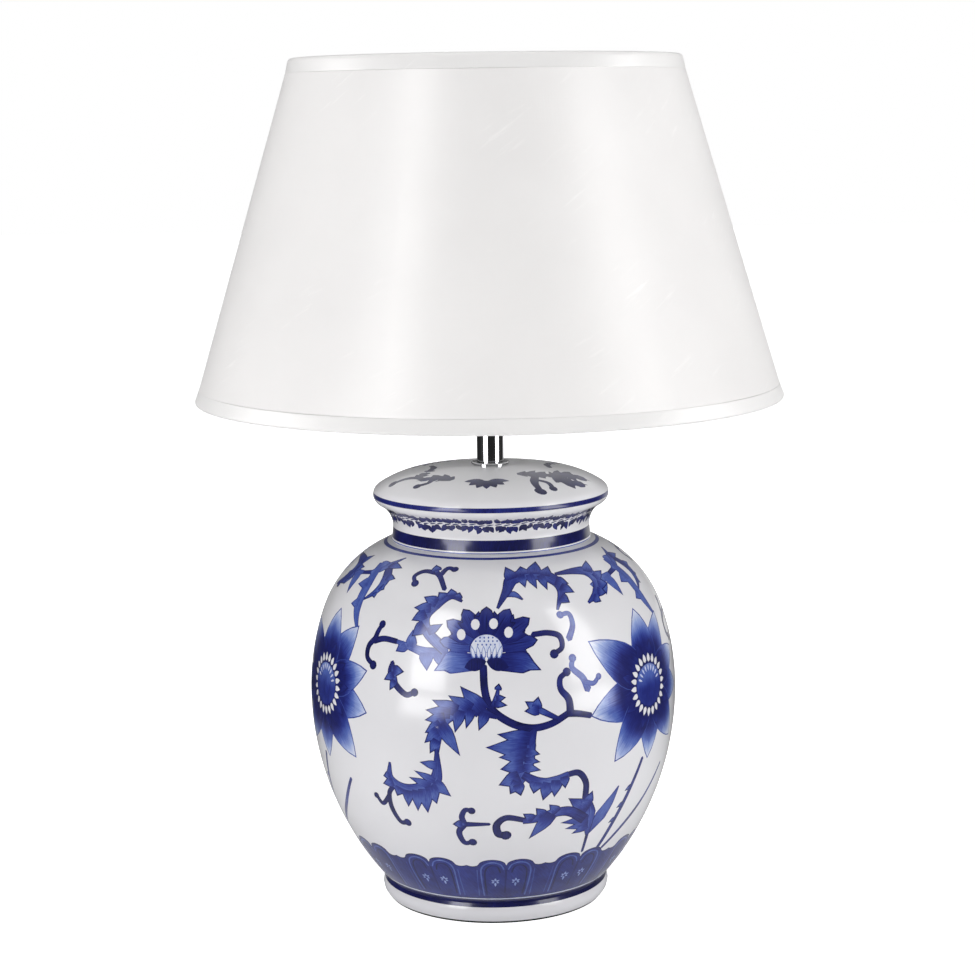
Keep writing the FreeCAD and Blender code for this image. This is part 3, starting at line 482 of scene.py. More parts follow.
def jar_outline():
    """Outside from the foot's underside up to the neck, then the rest down inside and under the floor."""
    up = FELT_THICK
    foot, bead, belly = (FOOT_RADIUS, up), (BEAD_RADIUS, up + BEAD_HEIGHT), (BELLY_RADIUS, up + BELLY_HEIGHT)
    seat = (SEAT_RADIUS, SEAT)
    rise = up + UPPER_HEIGHT - belly[1]
    joint = (belly[0] - UPPER_CURVE + sqrt(UPPER_CURVE ** 2 - rise ** 2), up + UPPER_HEIGHT)
    reach = (joint[0] - belly[0] + UPPER_CURVE, joint[1] - belly[1])
    step = (joint[0] - seat[0], joint[1] - seat[1])
    curve = (step[0] ** 2 + step[1] ** 2) * UPPER_CURVE / (2 * (step[0] * reach[0] + step[1] * reach[1]))
    top_centre = (joint[0] - reach[0] * curve / UPPER_CURVE, joint[1] - reach[1] * curve / UPPER_CURVE)
    outside = [foot] + arc(foot, bead, bow_centre(foot, bead, BEAD_CURVE))
    outside += arc(bead, belly, level_centre(bead, belly))
    outside += arc(belly, joint, (belly[0] - UPPER_CURVE, belly[1])) + arc(joint, seat, top_centre)
    collar_foot, collar_top, mouth = (COLLAR_RADIUS, SEAT), (COLLAR_RADIUS, SEAT + COLLAR_RISE), (
        MOUTH_RADIUS, SEAT + COLLAR_RISE)
    throat, inner_belly = (MOUTH_RADIUS, SEAT - THROAT_DROP), (INNER_BELLY_RADIUS, belly[1])
    inner_foot, hole_top, hole_under = (INNER_FOOT_RADIUS, up + FLOOR_TOP), (TUBE_HOLE, up + FLOOR_TOP), (
        TUBE_HOLE, up + FLOOR_UNDER)
    rest = [seat] + line(seat, collar_foot) + line(collar_foot, collar_top) + line(collar_top, mouth)
    rest += line(mouth, throat)
    rest += arc(throat, inner_belly, bow_centre(throat, inner_belly, INNER_SHOULDER_CURVE, -1), INSIDE_STEP)
    rest += arc(inner_belly, inner_foot, level_centre(inner_foot, inner_belly), INSIDE_STEP)
    rest += line(inner_foot, hole_top, FLOOR_STEP) + [hole_under]
    rest += line(hole_under, (FOOT_RECESS, up + FLOOR_UNDER), FLOOR_STEP) + [(FOOT_RECESS, up), foot]
    return outside, rest


# %% [markdown]
# The lid is a skirt, a hollow, a rolled rim and a low dome. The rim's arc touches the hollow's and the
# dome's, and the place where it touches each is worked out too.

# %% Lid outline
SKIRT_RADIUS, SKIRT_ROUND, SKIRT_HEIGHT, SKIRT_BOW = 59.1, 0.8, 8.4, 60.0
HOLLOW, RIM_ROLL, RIM_CENTRE = 15.7, 5.9, 64.8
DOME_RISE, CROWN_CURVE, DOME_SHOULDER, PAD_RADIUS = 16.85, 300.0, 45.0, 13.0
LID_WALL, LID_BORE, LID_BORE_DROP = 6.0, 54.3, 5.6


def lid_outline():
    """Outside from the skirt's lower edge over the rim to the pad in the middle, then the rest inside."""
    start, edge = (SKIRT_RADIUS, SEAT), (SKIRT_RADIUS + SKIRT_ROUND, SEAT + SKIRT_ROUND)
    waist = (SKIRT_RADIUS, SEAT + SKIRT_HEIGHT)
    hollow_centre = (waist[0] + HOLLOW, waist[1])
    rim_height = waist[1] + sqrt((HOLLOW + RIM_ROLL) ** 2 - (hollow_centre[0] - RIM_CENTRE) ** 2)
    rim = (RIM_CENTRE, rim_height)
    share = HOLLOW / (HOLLOW + RIM_ROLL)
    under = (hollow_centre[0] + (rim[0] - hollow_centre[0]) * share,
             hollow_centre[1] + (rim_height - waist[1]) * share)
    top = rim_height + DOME_RISE
    crown = (0.0, top - sqrt(CROWN_CURVE ** 2 - PAD_RADIUS ** 2))
    shoulder = (DOME_SHOULDER, crown[1] + sqrt(CROWN_CURVE ** 2 - DOME_SHOULDER ** 2))
    step = (shoulder[0] - rim[0], shoulder[1] - rim[1])
    lean = (step[0] * shoulder[0] + step[1] * (shoulder[1] - crown[1])) / CROWN_CURVE
    side = (step[0] ** 2 + step[1] ** 2 - RIM_ROLL ** 2) / (2 * (lean - RIM_ROLL))
    side_centre = (shoulder[0] * (1 - side / CROWN_CURVE),
                   shoulder[1] + (crown[1] - shoulder[1]) * side / CROWN_CURVE)
    away = hypot(rim[0] - side_centre[0], rim[1] - side_centre[1])
    over = (side_centre[0] + (rim[0] - side_centre[0]) * side / away,
            side_centre[1] + (rim[1] - side_centre[1]) * side / away)
    pad = (PAD_RADIUS, top)
    outside = [start] + arc(start, edge, (SKIRT_RADIUS, edge[1]), 0.3)
    outside += arc(edge, waist, bow_centre(edge, waist, SKIRT_BOW, -1), 1.5)
    outside += arc(waist, under, hollow_centre, 1.5) + arc(under, over, rim, 1.0)
    outside += arc(over, shoulder, side_centre, 1.6) + arc(shoulder, pad, crown, 2.0)
    inside_top = top - LID_WALL
    hole_under, inner_pad = (TUBE_HOLE, inside_top), (PAD_RADIUS, inside_top)
    bore_top, bore_foot = (LID_BORE, inside_top - LID_BORE_DROP), (LID_BORE, SEAT)
    rest = [pad] + line(pad, (TUBE_HOLE, top)) + [hole_under] + line(hole_under, inner_pad)
    rest += line(inner_pad, bore_top) + line(bore_top, bore_foot) + line(bore_foot, start)
    return outside, rest


# %% [markdown]
# ## Unrolling a turned surface
# A painter works round the jar. A program works more easily on a flat sheet, so the surface is unrolled:
# one way is the distance round at a fixed radius, the other is the distance along the outline.

# %% Unrolled surfaces


class Outside:
    """A turned surface unrolled: millimetres round at a set radius, and millimetres along the outline."""

    def __init__(self, points, unit):
        self.radius = np.array([p[0] for p in points])
        self.height = np.array([p[1] for p in points])
        steps = np.hypot(np.diff(self.radius), np.diff(self.height))
        self.along = np.concatenate([[0.0], np.cumsum(steps)])
        self.unit = unit

    def radius_at(self, along):
        return np.interp(along, self.along, self.radius)

    def along_at_height(self, height):
        rising = np.maximum.accumulate(self.height)
        return float(np.interp(height, rising, self.along))

    def along_at_radius(self, radius):
        """Place on the top of a dome, where the outline runs inwards to its end."""
        widest = int(np.argmax(self.radius))
        return float(np.interp(-radius, -self.radius[widest:], self.along[widest:]))


jar_outside, jar_rest = jar_outline()
lid_outside, lid_rest = lid_outline()
JAR = Outside(jar_outside, BELLY_RADIUS)
LID = Outside(lid_outside, RIM_CENTRE + RIM_ROLL)
print("jar outline", len(jar_outside), "points,", round(JAR.along[-1], 1), "mm")
print("lid outline", len(lid_outside), "points,", round(LID.along[-1], 1), "mm")

# %% [markdown]
# ## The brush
# A painter lays a dark outline, washes it in and adds streaks. Here a motif is a list of dabs, and a dab is
# an outline on the unrolled surface with a rule for how strong the ink is at a place in it. Points are
# given as (degrees round, millimetres up the jar). A motif is drawn flat about its own first point, so that
# its shape isn't stretched where the jar narrows.

# %% Dabs


class Canvas:
    """Collects the dabs of one surface. Later dabs lie on earlier ones."""

    def __init__(self, surface, place):
        self.surface = surface
        self.place = place
        self.dabs = []

    def flat(self, points):
        """Points (degrees, place) as true millimetres about the first one, and that origin."""
        along = np.array([self.place(p[1]) for p in points])
        turn = np.radians([p[0] for p in points])
        across = (turn - turn[0]) * self.surface.radius_at(along)
        return np.stack([across, along - along[0]], axis=1), (turn[0], along[0])

    def unroll(self, flat, origin):
        """The flat drawing laid on the unrolled surface."""
        along = origin[1] + flat[:, 1]
        turn = origin[0] + flat[:, 0] / self.surface.radius_at(along)
        return np.stack([turn * self.surface.unit, along], axis=1)

    def dab(self, flat, origin, ink):
        """ink is a number, or a function of flat points that gives (strength, across, along) for each."""
        self.dabs.append((self.unroll(np.asarray(flat, float), origin), origin, ink))


# %% [markdown]
# ## Strokes
# Stems and curls are ribbons: a few points make a smooth spine, and the width swells and tapers along it as
# the brush is pressed and lifted. A ball of ink ends a curl. STROKE makes every ribbon a little fuller than
# written.

# %% Strokes
STROKE = 1.35
STREAK = 14.0


def smooth(points, per_span=7):
    """A smooth curve through a few points."""
    points = np.asarray(points, float)
    padded = np.vstack([2 * points[0] - points[1], points, 2 * points[-1] - points[-2]])
    share = np.linspace(0, 1, per_span, endpoint=False)[:, None]
    spans = []
    for a, b, c, d in zip(padded, padded[1:], padded[2:], padded[3:]):
        spans.append(0.5 * (2 * b + (c - a) * share + (2 * a - 5 * b + 4 * c - d) * share ** 2
                            + (3 * b - a - 3 * c + d) * share ** 3))
    return np.vstack(spans + [points[-1:]])


def sides(spine):
    """The direction along a curve and the direction to its left, at each point."""
    forward = np.gradient(spine, axis=0)
    forward /= np.maximum(np.linalg.norm(forward, axis=1), 1e-9)[:, None]
    return forward, np.stack([-forward[:, 1], forward[:, 0]], axis=1)


def along_spine(spine, width, inks, edge=0.0):
    """Ink that changes along a spine (inks are its strengths from start to end) and darkens at the edges."""
    share = np.linspace(0, 1, len(spine))
    forward, left = sides(spine)

    def ink(flat):
        gap = ((flat[:, None, :] - spine[None, :, :]) ** 2).sum(axis=2)
        near = gap.argmin(axis=1)
        off = ((flat - spine[near]) * left[near]).sum(axis=1)
        strength = np.interp(share[near], np.linspace(0, 1, len(inks)), inks)
        strength = strength + edge * np.clip(np.abs(off) / width, 0, 1) ** 2
        return strength, off / STREAK, share[near] * len(spine) / 12.0
    return ink


def ribbon(canvas, points, widths, inks=(0.72,), ball=0.0):
    """A stroke along points whose width goes from value to value; ball is the radius of a curl's end."""
    widths = [value * STROKE for value in widths]
    ball *= STROKE
    flat, origin = canvas.flat(points)
    spine = smooth(flat)
    forward, left = sides(spine)
    share = np.linspace(0, 1, len(spine))
    half = np.interp(share, np.linspace(0, 1, len(widths)), widths)[:, None] / 2
    inks = list(inks) * 2 if len(inks) == 1 else list(inks)
    start, end = spine[0] - forward[0] * half[0] * 0.8, spine[-1] + forward[-1] * half[-1] * 0.8
    outline = np.vstack([start, spine - left * half, end, (spine + left * half)[::-1]])
    canvas.dab(outline, origin, along_spine(spine, half.max(), inks, 0.12))
    if ball:
        ring = np.linspace(0, 2 * pi, 13)[:-1]
        centre = spine[-1] + forward[-1] * ball * 0.2
        disc = centre + ball * np.stack([np.cos(ring), np.sin(ring)], axis=1)
        canvas.dab(disc, origin, lambda place, last=inks[-1]: blot(place, centre, ball, last))


def blot(place, centre, radius, strength):
    away = np.linalg.norm(place - centre, axis=1) / radius
    return strength + 0.12 * away ** 2, place[:, 0] / STREAK, place[:, 1] / STREAK


# %% [markdown]
# ## Leaves
# The lid's leaves and the long petals have even teeth, so a rule can cut them. The jar's leaves have lobes
# that point every way. Their lobes are given one by one, each by its place on the spine and its tip. A leaf
# is laid dark first, then a little smaller and paler on top, which leaves an outline of one even width.

# %% Toothed leaves
LINE = 0.55
SPREAD = 1.6
TOOTH = ((0.0, 0.54), (0.26, 0.86), (0.60, 1.06), (0.68, 1.06), (0.86, 0.72))


def toothed(spine, width, teeth, shape=0.75):
    """A leaf's outline: along each side a row of pointed lobes that lean towards the tip."""
    count = len(spine)
    forward, left = sides(spine)

    def at(share):
        place = np.clip(share, 0, 1) * (count - 1)
        low = int(min(floor(place), count - 2))
        mix = place - low
        return [field[low] * (1 - mix) + field[low + 1] * mix for field in (spine, forward, left)]

    def side(sign):
        rows = []
        for tooth in range(teeth):
            for part, reach in TOOTH:
                share = (tooth + part) / teeth
                point, ahead, out = at(share)
                body = width * max(sin(pi * min(share * 0.90 + 0.12, 1.0)), 0.0) ** shape
                lean = body * 0.8 * max(reach - 0.6, 0.0)
                rows.append(point + out * sign * body * reach + ahead * lean)
        return rows
    tip, ahead, _ = at(1.0)
    return np.array([at(0.0)[0]] + side(-1) + [tip + ahead * width * 0.25] + side(1)[::-1])


def leaf(canvas, points, width, teeth, inks):
    """A curling leaf: dark outline, lighter body with streaks that fan from the spine, and a dark midrib."""
    flat, origin = canvas.flat(points)
    spine = smooth(flat, 9)
    width *= SPREAD
    dark = min(max(inks) + 0.16, 0.95)
    canvas.dab(toothed(spine, width, teeth), origin, along_spine(spine, width, [dark, dark]))
    inner = spine[1:-1]
    canvas.dab(toothed(inner, max(width - LINE, 0.6), teeth), origin,
               along_spine(inner, width, list(inks), 0.10))
    rib = spine[: int(len(spine) * 0.85)]
    side = sides(rib)[1]
    half = np.linspace(0.45, 0.12, len(rib))[:, None]
    canvas.dab(np.vstack([rib - side * half, (rib + side * half)[::-1]]), origin,
               along_spine(rib, width, [dark, max(inks)]))


# %% Lobed leaves
BODY, LOBE_WIDTH, OUTLINE, TIP_BACK = 0.55, 1.45, 0.5, 2.4
SPIKE = ((0.0, 0.9), (0.3, 1.0), (0.5, 0.8), (0.7, 0.48), (0.86, 0.22))


def frond(canvas, points, widths, lobes=(), inks=(0.84, 0.56, 0.70)):
    """A leaf: a spine that swells and tapers, and lobes given as (share of spine, angle, height, width)."""
    flat, origin = canvas.flat(points)
    spine = smooth(flat, 9)
    share = np.linspace(0, 1, len(spine))
    half = np.interp(share, np.linspace(0, 1, len(widths)), widths)[:, None] * BODY
    left = sides(spine)[1]
    tips = canvas.flat([points[0]] + [lobe[1:3] for lobe in lobes])[0][1:]
    bases = [spine[round(lobe[0] * (len(spine) - 1))] for lobe in lobes]
    dark = min(max(inks) + 0.12, 0.95)
    for inset in (0.0, OUTLINE):
        edge = np.maximum(half - inset, 0.2)
        body = np.vstack([spine - left * edge, (spine + left * edge)[::-1]])
        canvas.dab(body, origin, along_spine(spine, max(widths) / 2, inks, 0.10) if inset else dark)
        for tip, base, lobe in zip(tips, bases, lobes):
            way = (tip - base) / np.linalg.norm(tip - base)
            shape = spike(base, tip - way * inset * TIP_BACK, lobe[3] * LOBE_WIDTH - inset * 2)
            canvas.dab(shape, origin, lobe_ink(base, tip, inks) if inset else dark)


def spike(base, tip, width):
    """A pointed lobe, widest near its root, with hollow sides."""
    way = tip - base
    side = np.array([way[1], -way[0]]) / np.linalg.norm(way) * width / 2
    near = [base + way * share + side * half for share, half in SPIKE]
    far = [base + way * share - side * half for share, half in SPIKE[::-1]]
    return np.array(near + [tip] + far)


def lobe_ink(base, tip, inks):
    """Dark where the lobe leaves its spine, lighter in the middle and dark again at the point."""
    way = tip - base
    length = np.linalg.norm(way)
    way = way / length
    side = np.array([-way[1], way[0]])
    strengths = (max(inks), min(inks), min(inks) + 0.08, max(inks))

    def ink(place):
        share = ((place - base) @ way) / length
        return np.interp(share, (0.0, 0.5, 0.8, 1.0), strengths), (place - base) @ side / 9.0, share * 1.2
    return ink


# %% [markdown]
# ## Petals
# A petal is a pointed lens. Its ink is strong at the base and fades to the tip, as a wet brush runs dry.

# %% Petals


def lens(centre, tip, width, count=9, fullness=0.7):
    """A pointed petal from a centre to a tip; with a fullness under 1 it is widest before the middle."""
    centre, tip = np.asarray(centre, float), np.asarray(tip, float)
    way = tip - centre
    side = np.array([-way[1], way[0]]) / max(np.linalg.norm(way), 1e-6)
    share = np.linspace(0, 1, count)[:, None]
    half = width / 2 * np.sin(pi * share ** fullness) ** 0.8
    middle = centre + way * share
    return np.vstack([middle - side * half, (middle + side * half)[::-1][1:-1]])


def oval(centre, across, up, count):
    ring = np.linspace(0, 2 * pi, count + 1)[:-1]
    return np.asarray(centre, float) + np.stack([across * np.cos(ring), up * np.sin(ring)], axis=1)


def petal_ink(centre, tip, base, end):
    """Ink that fades from a petal's base to its tip, with streaks along it."""
    centre, tip = np.asarray(centre, float), np.asarray(tip, float)
    way = tip - centre
    length = np.linalg.norm(way)
    way = way / length
    side = np.array([-way[1], way[0]])

    def ink(place):
        share = ((place - centre) @ way) / length
        across = (place - centre) @ side
        fade = np.clip((share - 0.50 + np.abs(across) / length * 0.4) / 0.46, 0, 1)
        return base + (end - base) * fade, across / 12.0, share * 1.5
    return ink


def petal(canvas, origin, centre, tip, width, base=0.86, end=0.08, edge=0.62):
    """A petal with a thin outline; base, end and edge are strengths of ink."""
    way = np.asarray(tip, float) - np.asarray(centre, float)
    short = np.asarray(tip, float) - way / np.linalg.norm(way) * LINE * 2.2
    canvas.dab(lens(centre, tip, width), origin, edge)
    canvas.dab(lens(centre, short, width - 2 * LINE), origin, petal_ink(centre, tip, base, end))


print("brush ready, with lines", LINE, "mm wide")

# %% [markdown]
# ## The large flower
# A flower seen from the front looks out of the vine once in each third of the jar: nine streaked petals, a
# dark eye, and a ring of small white points round the eye. Real ones are never quite even, so each petal is
# given its own turn in degrees, reach and width in millimetres.

# %% Large flower
PETALS = [(90, 46, 25), (57, 47, 23), (20, 44, 22), (-12, 45, 23), (-50, 50, 24), (-90, 45, 22),
          (232, 51, 24), (191, 51, 25), (143, 55, 26)]
POINTS = 22


def around(angle, reach):
    return np.array([reach * cos(radians(angle)), reach * sin(radians(angle))])


def large_flower(canvas, angle, height):
    origin = canvas.flat([(angle, height)])[1]
    for turn, reach, width in PETALS[1::2] + PETALS[0::2]:
        petal(canvas, origin, around(turn, 6.0), around(turn, reach), width)
    for turn, reach, width in PETALS:
        petal(canvas, origin, around(turn + 17, 8.0), around(turn + 17, 27.0), 9.0, 0.92, 0.75, 0.9)
    canvas.dab(oval((0, 0), 17.0, 16.0, 30), origin, 0.90)
    for index in range(POINTS):
        turn = index * 360 / POINTS
        canvas.dab(lens(around(turn, 13.2), around(turn, 18.6), 3.2, 6), origin, 0.0)
    canvas.dab(oval((0, 0), 14.0, 13.0, 30), origin, 0.85)
    canvas.dab(oval((0, 0), 13.3, 12.3, 30), origin,
               lambda at: (0.74 - 0.34 * np.clip(at[:, 1] / 14 + 0.15, 0, 1), at[:, 0] / 10, at[:, 1] / 20))
    for index in range(9):
        canvas.dab(lens(around(20 + index * 17, 12.0), around(20 + index * 17, 8.0), 1.3, 5), origin, 0.12)


# %% [markdown]
# ## The lotus
# The lotus in the middle is seen from the side: lobed petals fan up behind a pale seed head, two long
# petals spread below it, and the stem leaves underneath. Petals are laid from the outside in, so that each
# covers the last one's edge, and the white gaps between them are dabs with no ink.

# %% Lotus
LOBE = [(0.0, 0.30), (0.30, 0.52), (0.55, 0.92), (0.80, 1.00), (0.76, 0.62), (0.92, 0.42), (1.02, 0.0)]


def lobed(canvas, origin, turn, reach, width, inks):
    """A petal that widens upwards and ends in three points; turn is its lean from upright in degrees."""
    base, way = np.array([0.0, -2.0]), around(90 - turn, 1.0)
    side = np.array([way[1], -way[0]])

    def shape(length, half):
        right = [base + way * length * a + side * half * b for a, b in LOBE]
        left = [base + way * length * a - side * half * b for a, b in LOBE[:-1]]
        return np.array(right + left[::-1])
    canvas.dab(shape(reach, width), origin, min(max(inks) + 0.14, 0.96))
    spine = np.array([base + way * r for r in np.linspace(0.0, reach, 12)])
    canvas.dab(shape(reach - 1.0, width - 0.6), origin, along_spine(spine, width, inks, 0.08))
    canvas.dab(lens(base + way * 9.0, base + way * (reach - 4.0), 0.7, 5), origin,
               min(max(inks) + 0.12, 0.96))


def lotus(canvas, angle, height):
    origin = canvas.flat([(angle, height)])[1]
    # The petals left of the middle are inked paler than their twins on the right: painted highlight, for a
    # reflection over the flower's left side.
    for turn, reach, width, dark in ((-84, 27, 6.5, 0.66), (84, 29, 7.0, 0.84), (-57, 27, 7.5, 0.72),
                                     (57, 29, 7.5, 0.86), (-31, 25.5, 7.2, 0.80), (31, 25.5, 7.2, 0.88),
                                     (0, 23.5, 7.2, 0.88)):
        lobed(canvas, origin, turn, reach, width, [dark, dark - 0.05, dark - 0.14])
    for across, up in ((-14.3, 5.0), (-6.3, 11.0), (4.0, 11.4), (12.5, 6.2)):
        canvas.dab(oval((across, up), 2.5, 3.2, 12), origin, 0.0)
    # The long petal on the left is inked paler than the right one: painted highlight too.
    for sign, reach, dark in ((-1, 29.0, 0.55), (1, 30.0, 0.80)):
        start, end = (sign * 1.0, -8.0), (sign * reach, -15.5)
        spine = smooth([start, (sign * 10.0, -10.5), (sign * 20.0, -11.0), end])
        canvas.dab(toothed(spine, 6.4, 1, 0.5), origin, min(dark + 0.12, 0.95))
        canvas.dab(toothed(spine[1:-1], 5.8, 1, 0.5), origin,
                   along_spine(spine, 6.0, [0.86, dark, dark - 0.22]))
    ring = np.radians(np.linspace(-8, 188, 22))
    dome = np.stack([9.9 * np.cos(ring), 9.6 * np.sin(ring) - 3.8], axis=1)
    canvas.dab(dome, origin, 0.82)
    canvas.dab(dome * 0.92 + np.array([0, -0.2]), origin, 0.10)
    for row, count in enumerate((5, 6, 4)):
        for index in range(count):
            across = (index - (count - 1) / 2) * 2.4
            canvas.dab(oval((across, -0.6 + row * 2.0), 0.5, 0.6, 7), origin, 0.55)
    for index in range(6):
        across = (index - 2.5) * 3.4
        canvas.dab(lens((across * 0.8, -9.0), (across, -1.0), 2.6, 6), origin, 0.45)
        canvas.dab(lens((across * 0.8, -8.0), (across, -1.9), 1.7, 6), origin, 0.06)
    for sign in (-1, 1):
        canvas.dab(lens((0, -10.0), (sign * 12.5, -13.5), 7.5, 9, 1.0), origin, 0.92)


# %% [markdown]
# ## The vine
# Stems, leaves and curls wander between the flowers. A formula would make them too even, so each is a short
# list of points, as the painter's hand set them. Stems and curls come first, and the leaves lie on them.

# %% Stems and curls
# Inks of leaves that are really as dark as the rest, painted paler where a highlight lies over them: painted
# highlight.
HIGHLIGHT_PALE = (0.62, 0.50, 0.56)


def stems_and_curls(canvas):
    # pale is the ink of the curls right of the lotus, painted paler where a highlight lies over them: painted
    # highlight.
    dark, pale = (0.84,), (0.58,)
    for points, widths, inks, ball in (
            ([(53, 98), (49, 80), (45, 62), (41, 44)], (2.0, 2.6, 2.2), (0.74,), 0),
            ([(68, 88), (60, 70), (51, 55), (44, 44)], (1.6, 2.4, 2.0), (0.70,), 0),
            ([(-3, 164), (-2.5, 150), (-0.5, 140), (5, 132), (11, 128.5), (17, 130), (23, 135.5)],
             (3.2, 3.4, 3.0), dark, 0),
            ([(22.5, 135), (26, 134), (30, 132)], (3.2, 2.6), dark, 0),
            ([(23.2, 135), (22.8, 143), (20.5, 149), (20.5, 155), (22.6, 158)], (3.6, 2.8, 2.2), dark, 1.9),
            ([(22, 98.5), (26.3, 98.8), (29.2, 92), (29.8, 82), (31.5, 72)], (2.8, 3.0, 3.4), dark, 0),
            ([(10, 72), (3.8, 74.3), (0.6, 70), (1, 64), (3.2, 62.8)], (2.6, 3.4, 3.6), dark, 2.4),
            ([(-1.8, 70.3), (-10, 70)], (1.4, 2.8), dark, 0),
            ([(-10, 70), (-10.6, 75), (-9.4, 79.3), (-7.6, 79)], (3.0, 2.4, 2.0), dark, 1.7),
            ([(-10, 70), (-12, 64.5), (-10.6, 57.7), (-8, 58)], (3.0, 2.6, 2.2), dark, 1.9),
            ([(33.6, 58), (33.9, 45)], (1.8, 1.4), dark, 0),
            ([(-33, 90), (-35, 85), (-35.2, 76), (-33, 67.5), (-30.4, 67.5)], (2.2, 2.6, 2.2), dark, 1.9),
            ([(-35, 84), (-38.5, 77.5), (-40.6, 81.5)], (2.2, 2.0), dark, 1.5),
            ([(-18.5, 203), (-22, 208.5), (-24.5, 210.4)], (2.2, 2.8), dark, 0),
            ([(-24, 210.3), (-30.5, 210.6), (-34, 208), (-32.2, 205)], (2.8, 2.2, 2.0), dark, 1.9),
            ([(-22.5, 209), (-20.4, 212.6), (-17.2, 212.4)], (2.6, 2.2), dark, 1.7),
            ([(-32, 174.5), (-37, 175), (-41, 173)], (2.4, 2.8), dark, 0),
            ([(-41, 173), (-40.3, 178), (-39.3, 182)], (2.8, 2.2), dark, 1.8),
            ([(-41, 174), (-43, 169.5), (-42.8, 163.5), (-40.2, 160)], (2.8, 2.6, 2.2), dark, 2.0),
            ([(-32.5, 163), (-33, 157), (-30.5, 150.5), (-27, 146), (-24.4, 147.5)],
             (2.2, 3.0, 2.2), dark, 1.8),
            ([(13, 180), (18, 180.3), (21.8, 178), (22.2, 172), (19.6, 169)], (2.4, 2.6, 2.2), dark, 2.0),
            ([(25, 176), (27.2, 183), (26.8, 189), (23.8, 189)], (3.0, 2.4, 2.0), pale, 1.7),
            ([(29.5, 147), (28, 154), (24.8, 160), (25.2, 165)], (3.4, 2.8, 2.2), pale, 1.8),
            ([(28, 152), (31.5, 150), (33.5, 153)], (2.4, 2.0), pale, 1.5)):
        ribbon(canvas, points, widths, inks, ball)


# %% [markdown]
# On the lotus's left two large leaves hang and curl towards the foot, and smaller ones lie round them. Each is
# a spine, its widths along it, and its lobes; a last set of three numbers is its ink where it isn't the usual.

# %% Leaves on the left


def left_leaves(canvas):
    frond(canvas, [(-0.5, 141), (0.8, 146), (1.5, 152)], (3.0, 3.0, 1.5),
          [(0.2, 4.2, 142, 3.2), (0.5, 3.8, 146.5, 3.0), (0.9, 1.7, 154.5, 3.0)])
    frond(canvas, [(1, 135.5), (-6.5, 140), (-13.4, 136.5), (-16.5, 127.5), (-17.2, 113.5)],
          (2.5, 6.5, 8, 7, 2.5),
          [(0.14, -10, 153, 7.5), (0.24, -13.6, 147.5, 6), (0.40, -18.6, 144.5, 6), (0.48, -20.6, 138.5, 5.5),
           (0.55, -20.8, 132.5, 5), (0.66, -20.8, 125, 5), (0.76, -21, 119, 5), (0.86, -19.4, 113, 4.5),
           (0.68, -10, 112.5, 6), (0.36, -11.5, 126, 5), (0.26, -8.2, 128.5, 4), (0.12, -4.5, 127.5, 4.5)])
    frond(canvas, [(-17.1, 116), (-17.7, 99), (-21.5, 91.5), (-28.5, 89), (-33.5, 94.5), (-33.2, 105)],
          (2, 6.5, 8.5, 7.5, 5, 1.5),
          [(0.12, -22.9, 107.5, 4), (0.24, -25, 102, 3.5), (0.34, -27, 97.5, 4), (0.26, -13.4, 87.5, 5.5),
           (0.34, -18.3, 82, 6.5), (0.42, -21.8, 75.5, 6.5), (0.50, -25.3, 76, 5.5), (0.57, -28.5, 78, 5),
           (0.66, -32.2, 84, 5), (0.76, -37, 90.5, 4.5), (0.84, -36.4, 95.5, 4)], (0.78, 0.56, 0.68))
    frond(canvas, [(-9.5, 70), (-12, 70)], (3.0, 2.6), [(0.4, -14, 69.7, 4)])
    frond(canvas, [(-32.6, 162), (-31, 152)], (3.0, 3.6),
          [(0.6, -35.2, 152.5, 3.8), (0.3, -28, 158.5, 4.5), (0.9, -32.8, 147, 3.4)])
    frond(canvas, [(-14, 172), (-20, 170), (-26, 172), (-32, 174.5)], (5, 6, 4, 2.4),
          [(0.7, -26.8, 182, 5), (0.8, -32, 169, 4.5), (0.4, -20.5, 160, 6), (0.2, -15, 161, 5)], HIGHLIGHT_PALE)
    frond(canvas, [(-10.8, 197.5), (-15.5, 200), (-20.5, 195.5), (-23.5, 189), (-21.5, 181), (-15, 172)],
          (1.5, 4.5, 6.5, 6.5, 6, 6),
          [(0.10, -12.2, 202, 4), (0.18, -16, 203.6, 4.5), (0.28, -20.6, 201.6, 5), (0.38, -26, 198.8, 5.5),
           (0.47, -28.6, 193, 5), (0.56, -28.2, 186.3, 5), (0.72, -27, 178, 5.5), (0.8, -16.5, 186, 4)],
          (0.80, 0.60, 0.56))


# %% [markdown]
# On the right a broad leaf hangs from the stem of the lotus, and a second one lies across its foot. Three tiny
# ones along a thin stem differ only in place, so a loop draws them.

# %% Leaves on the right


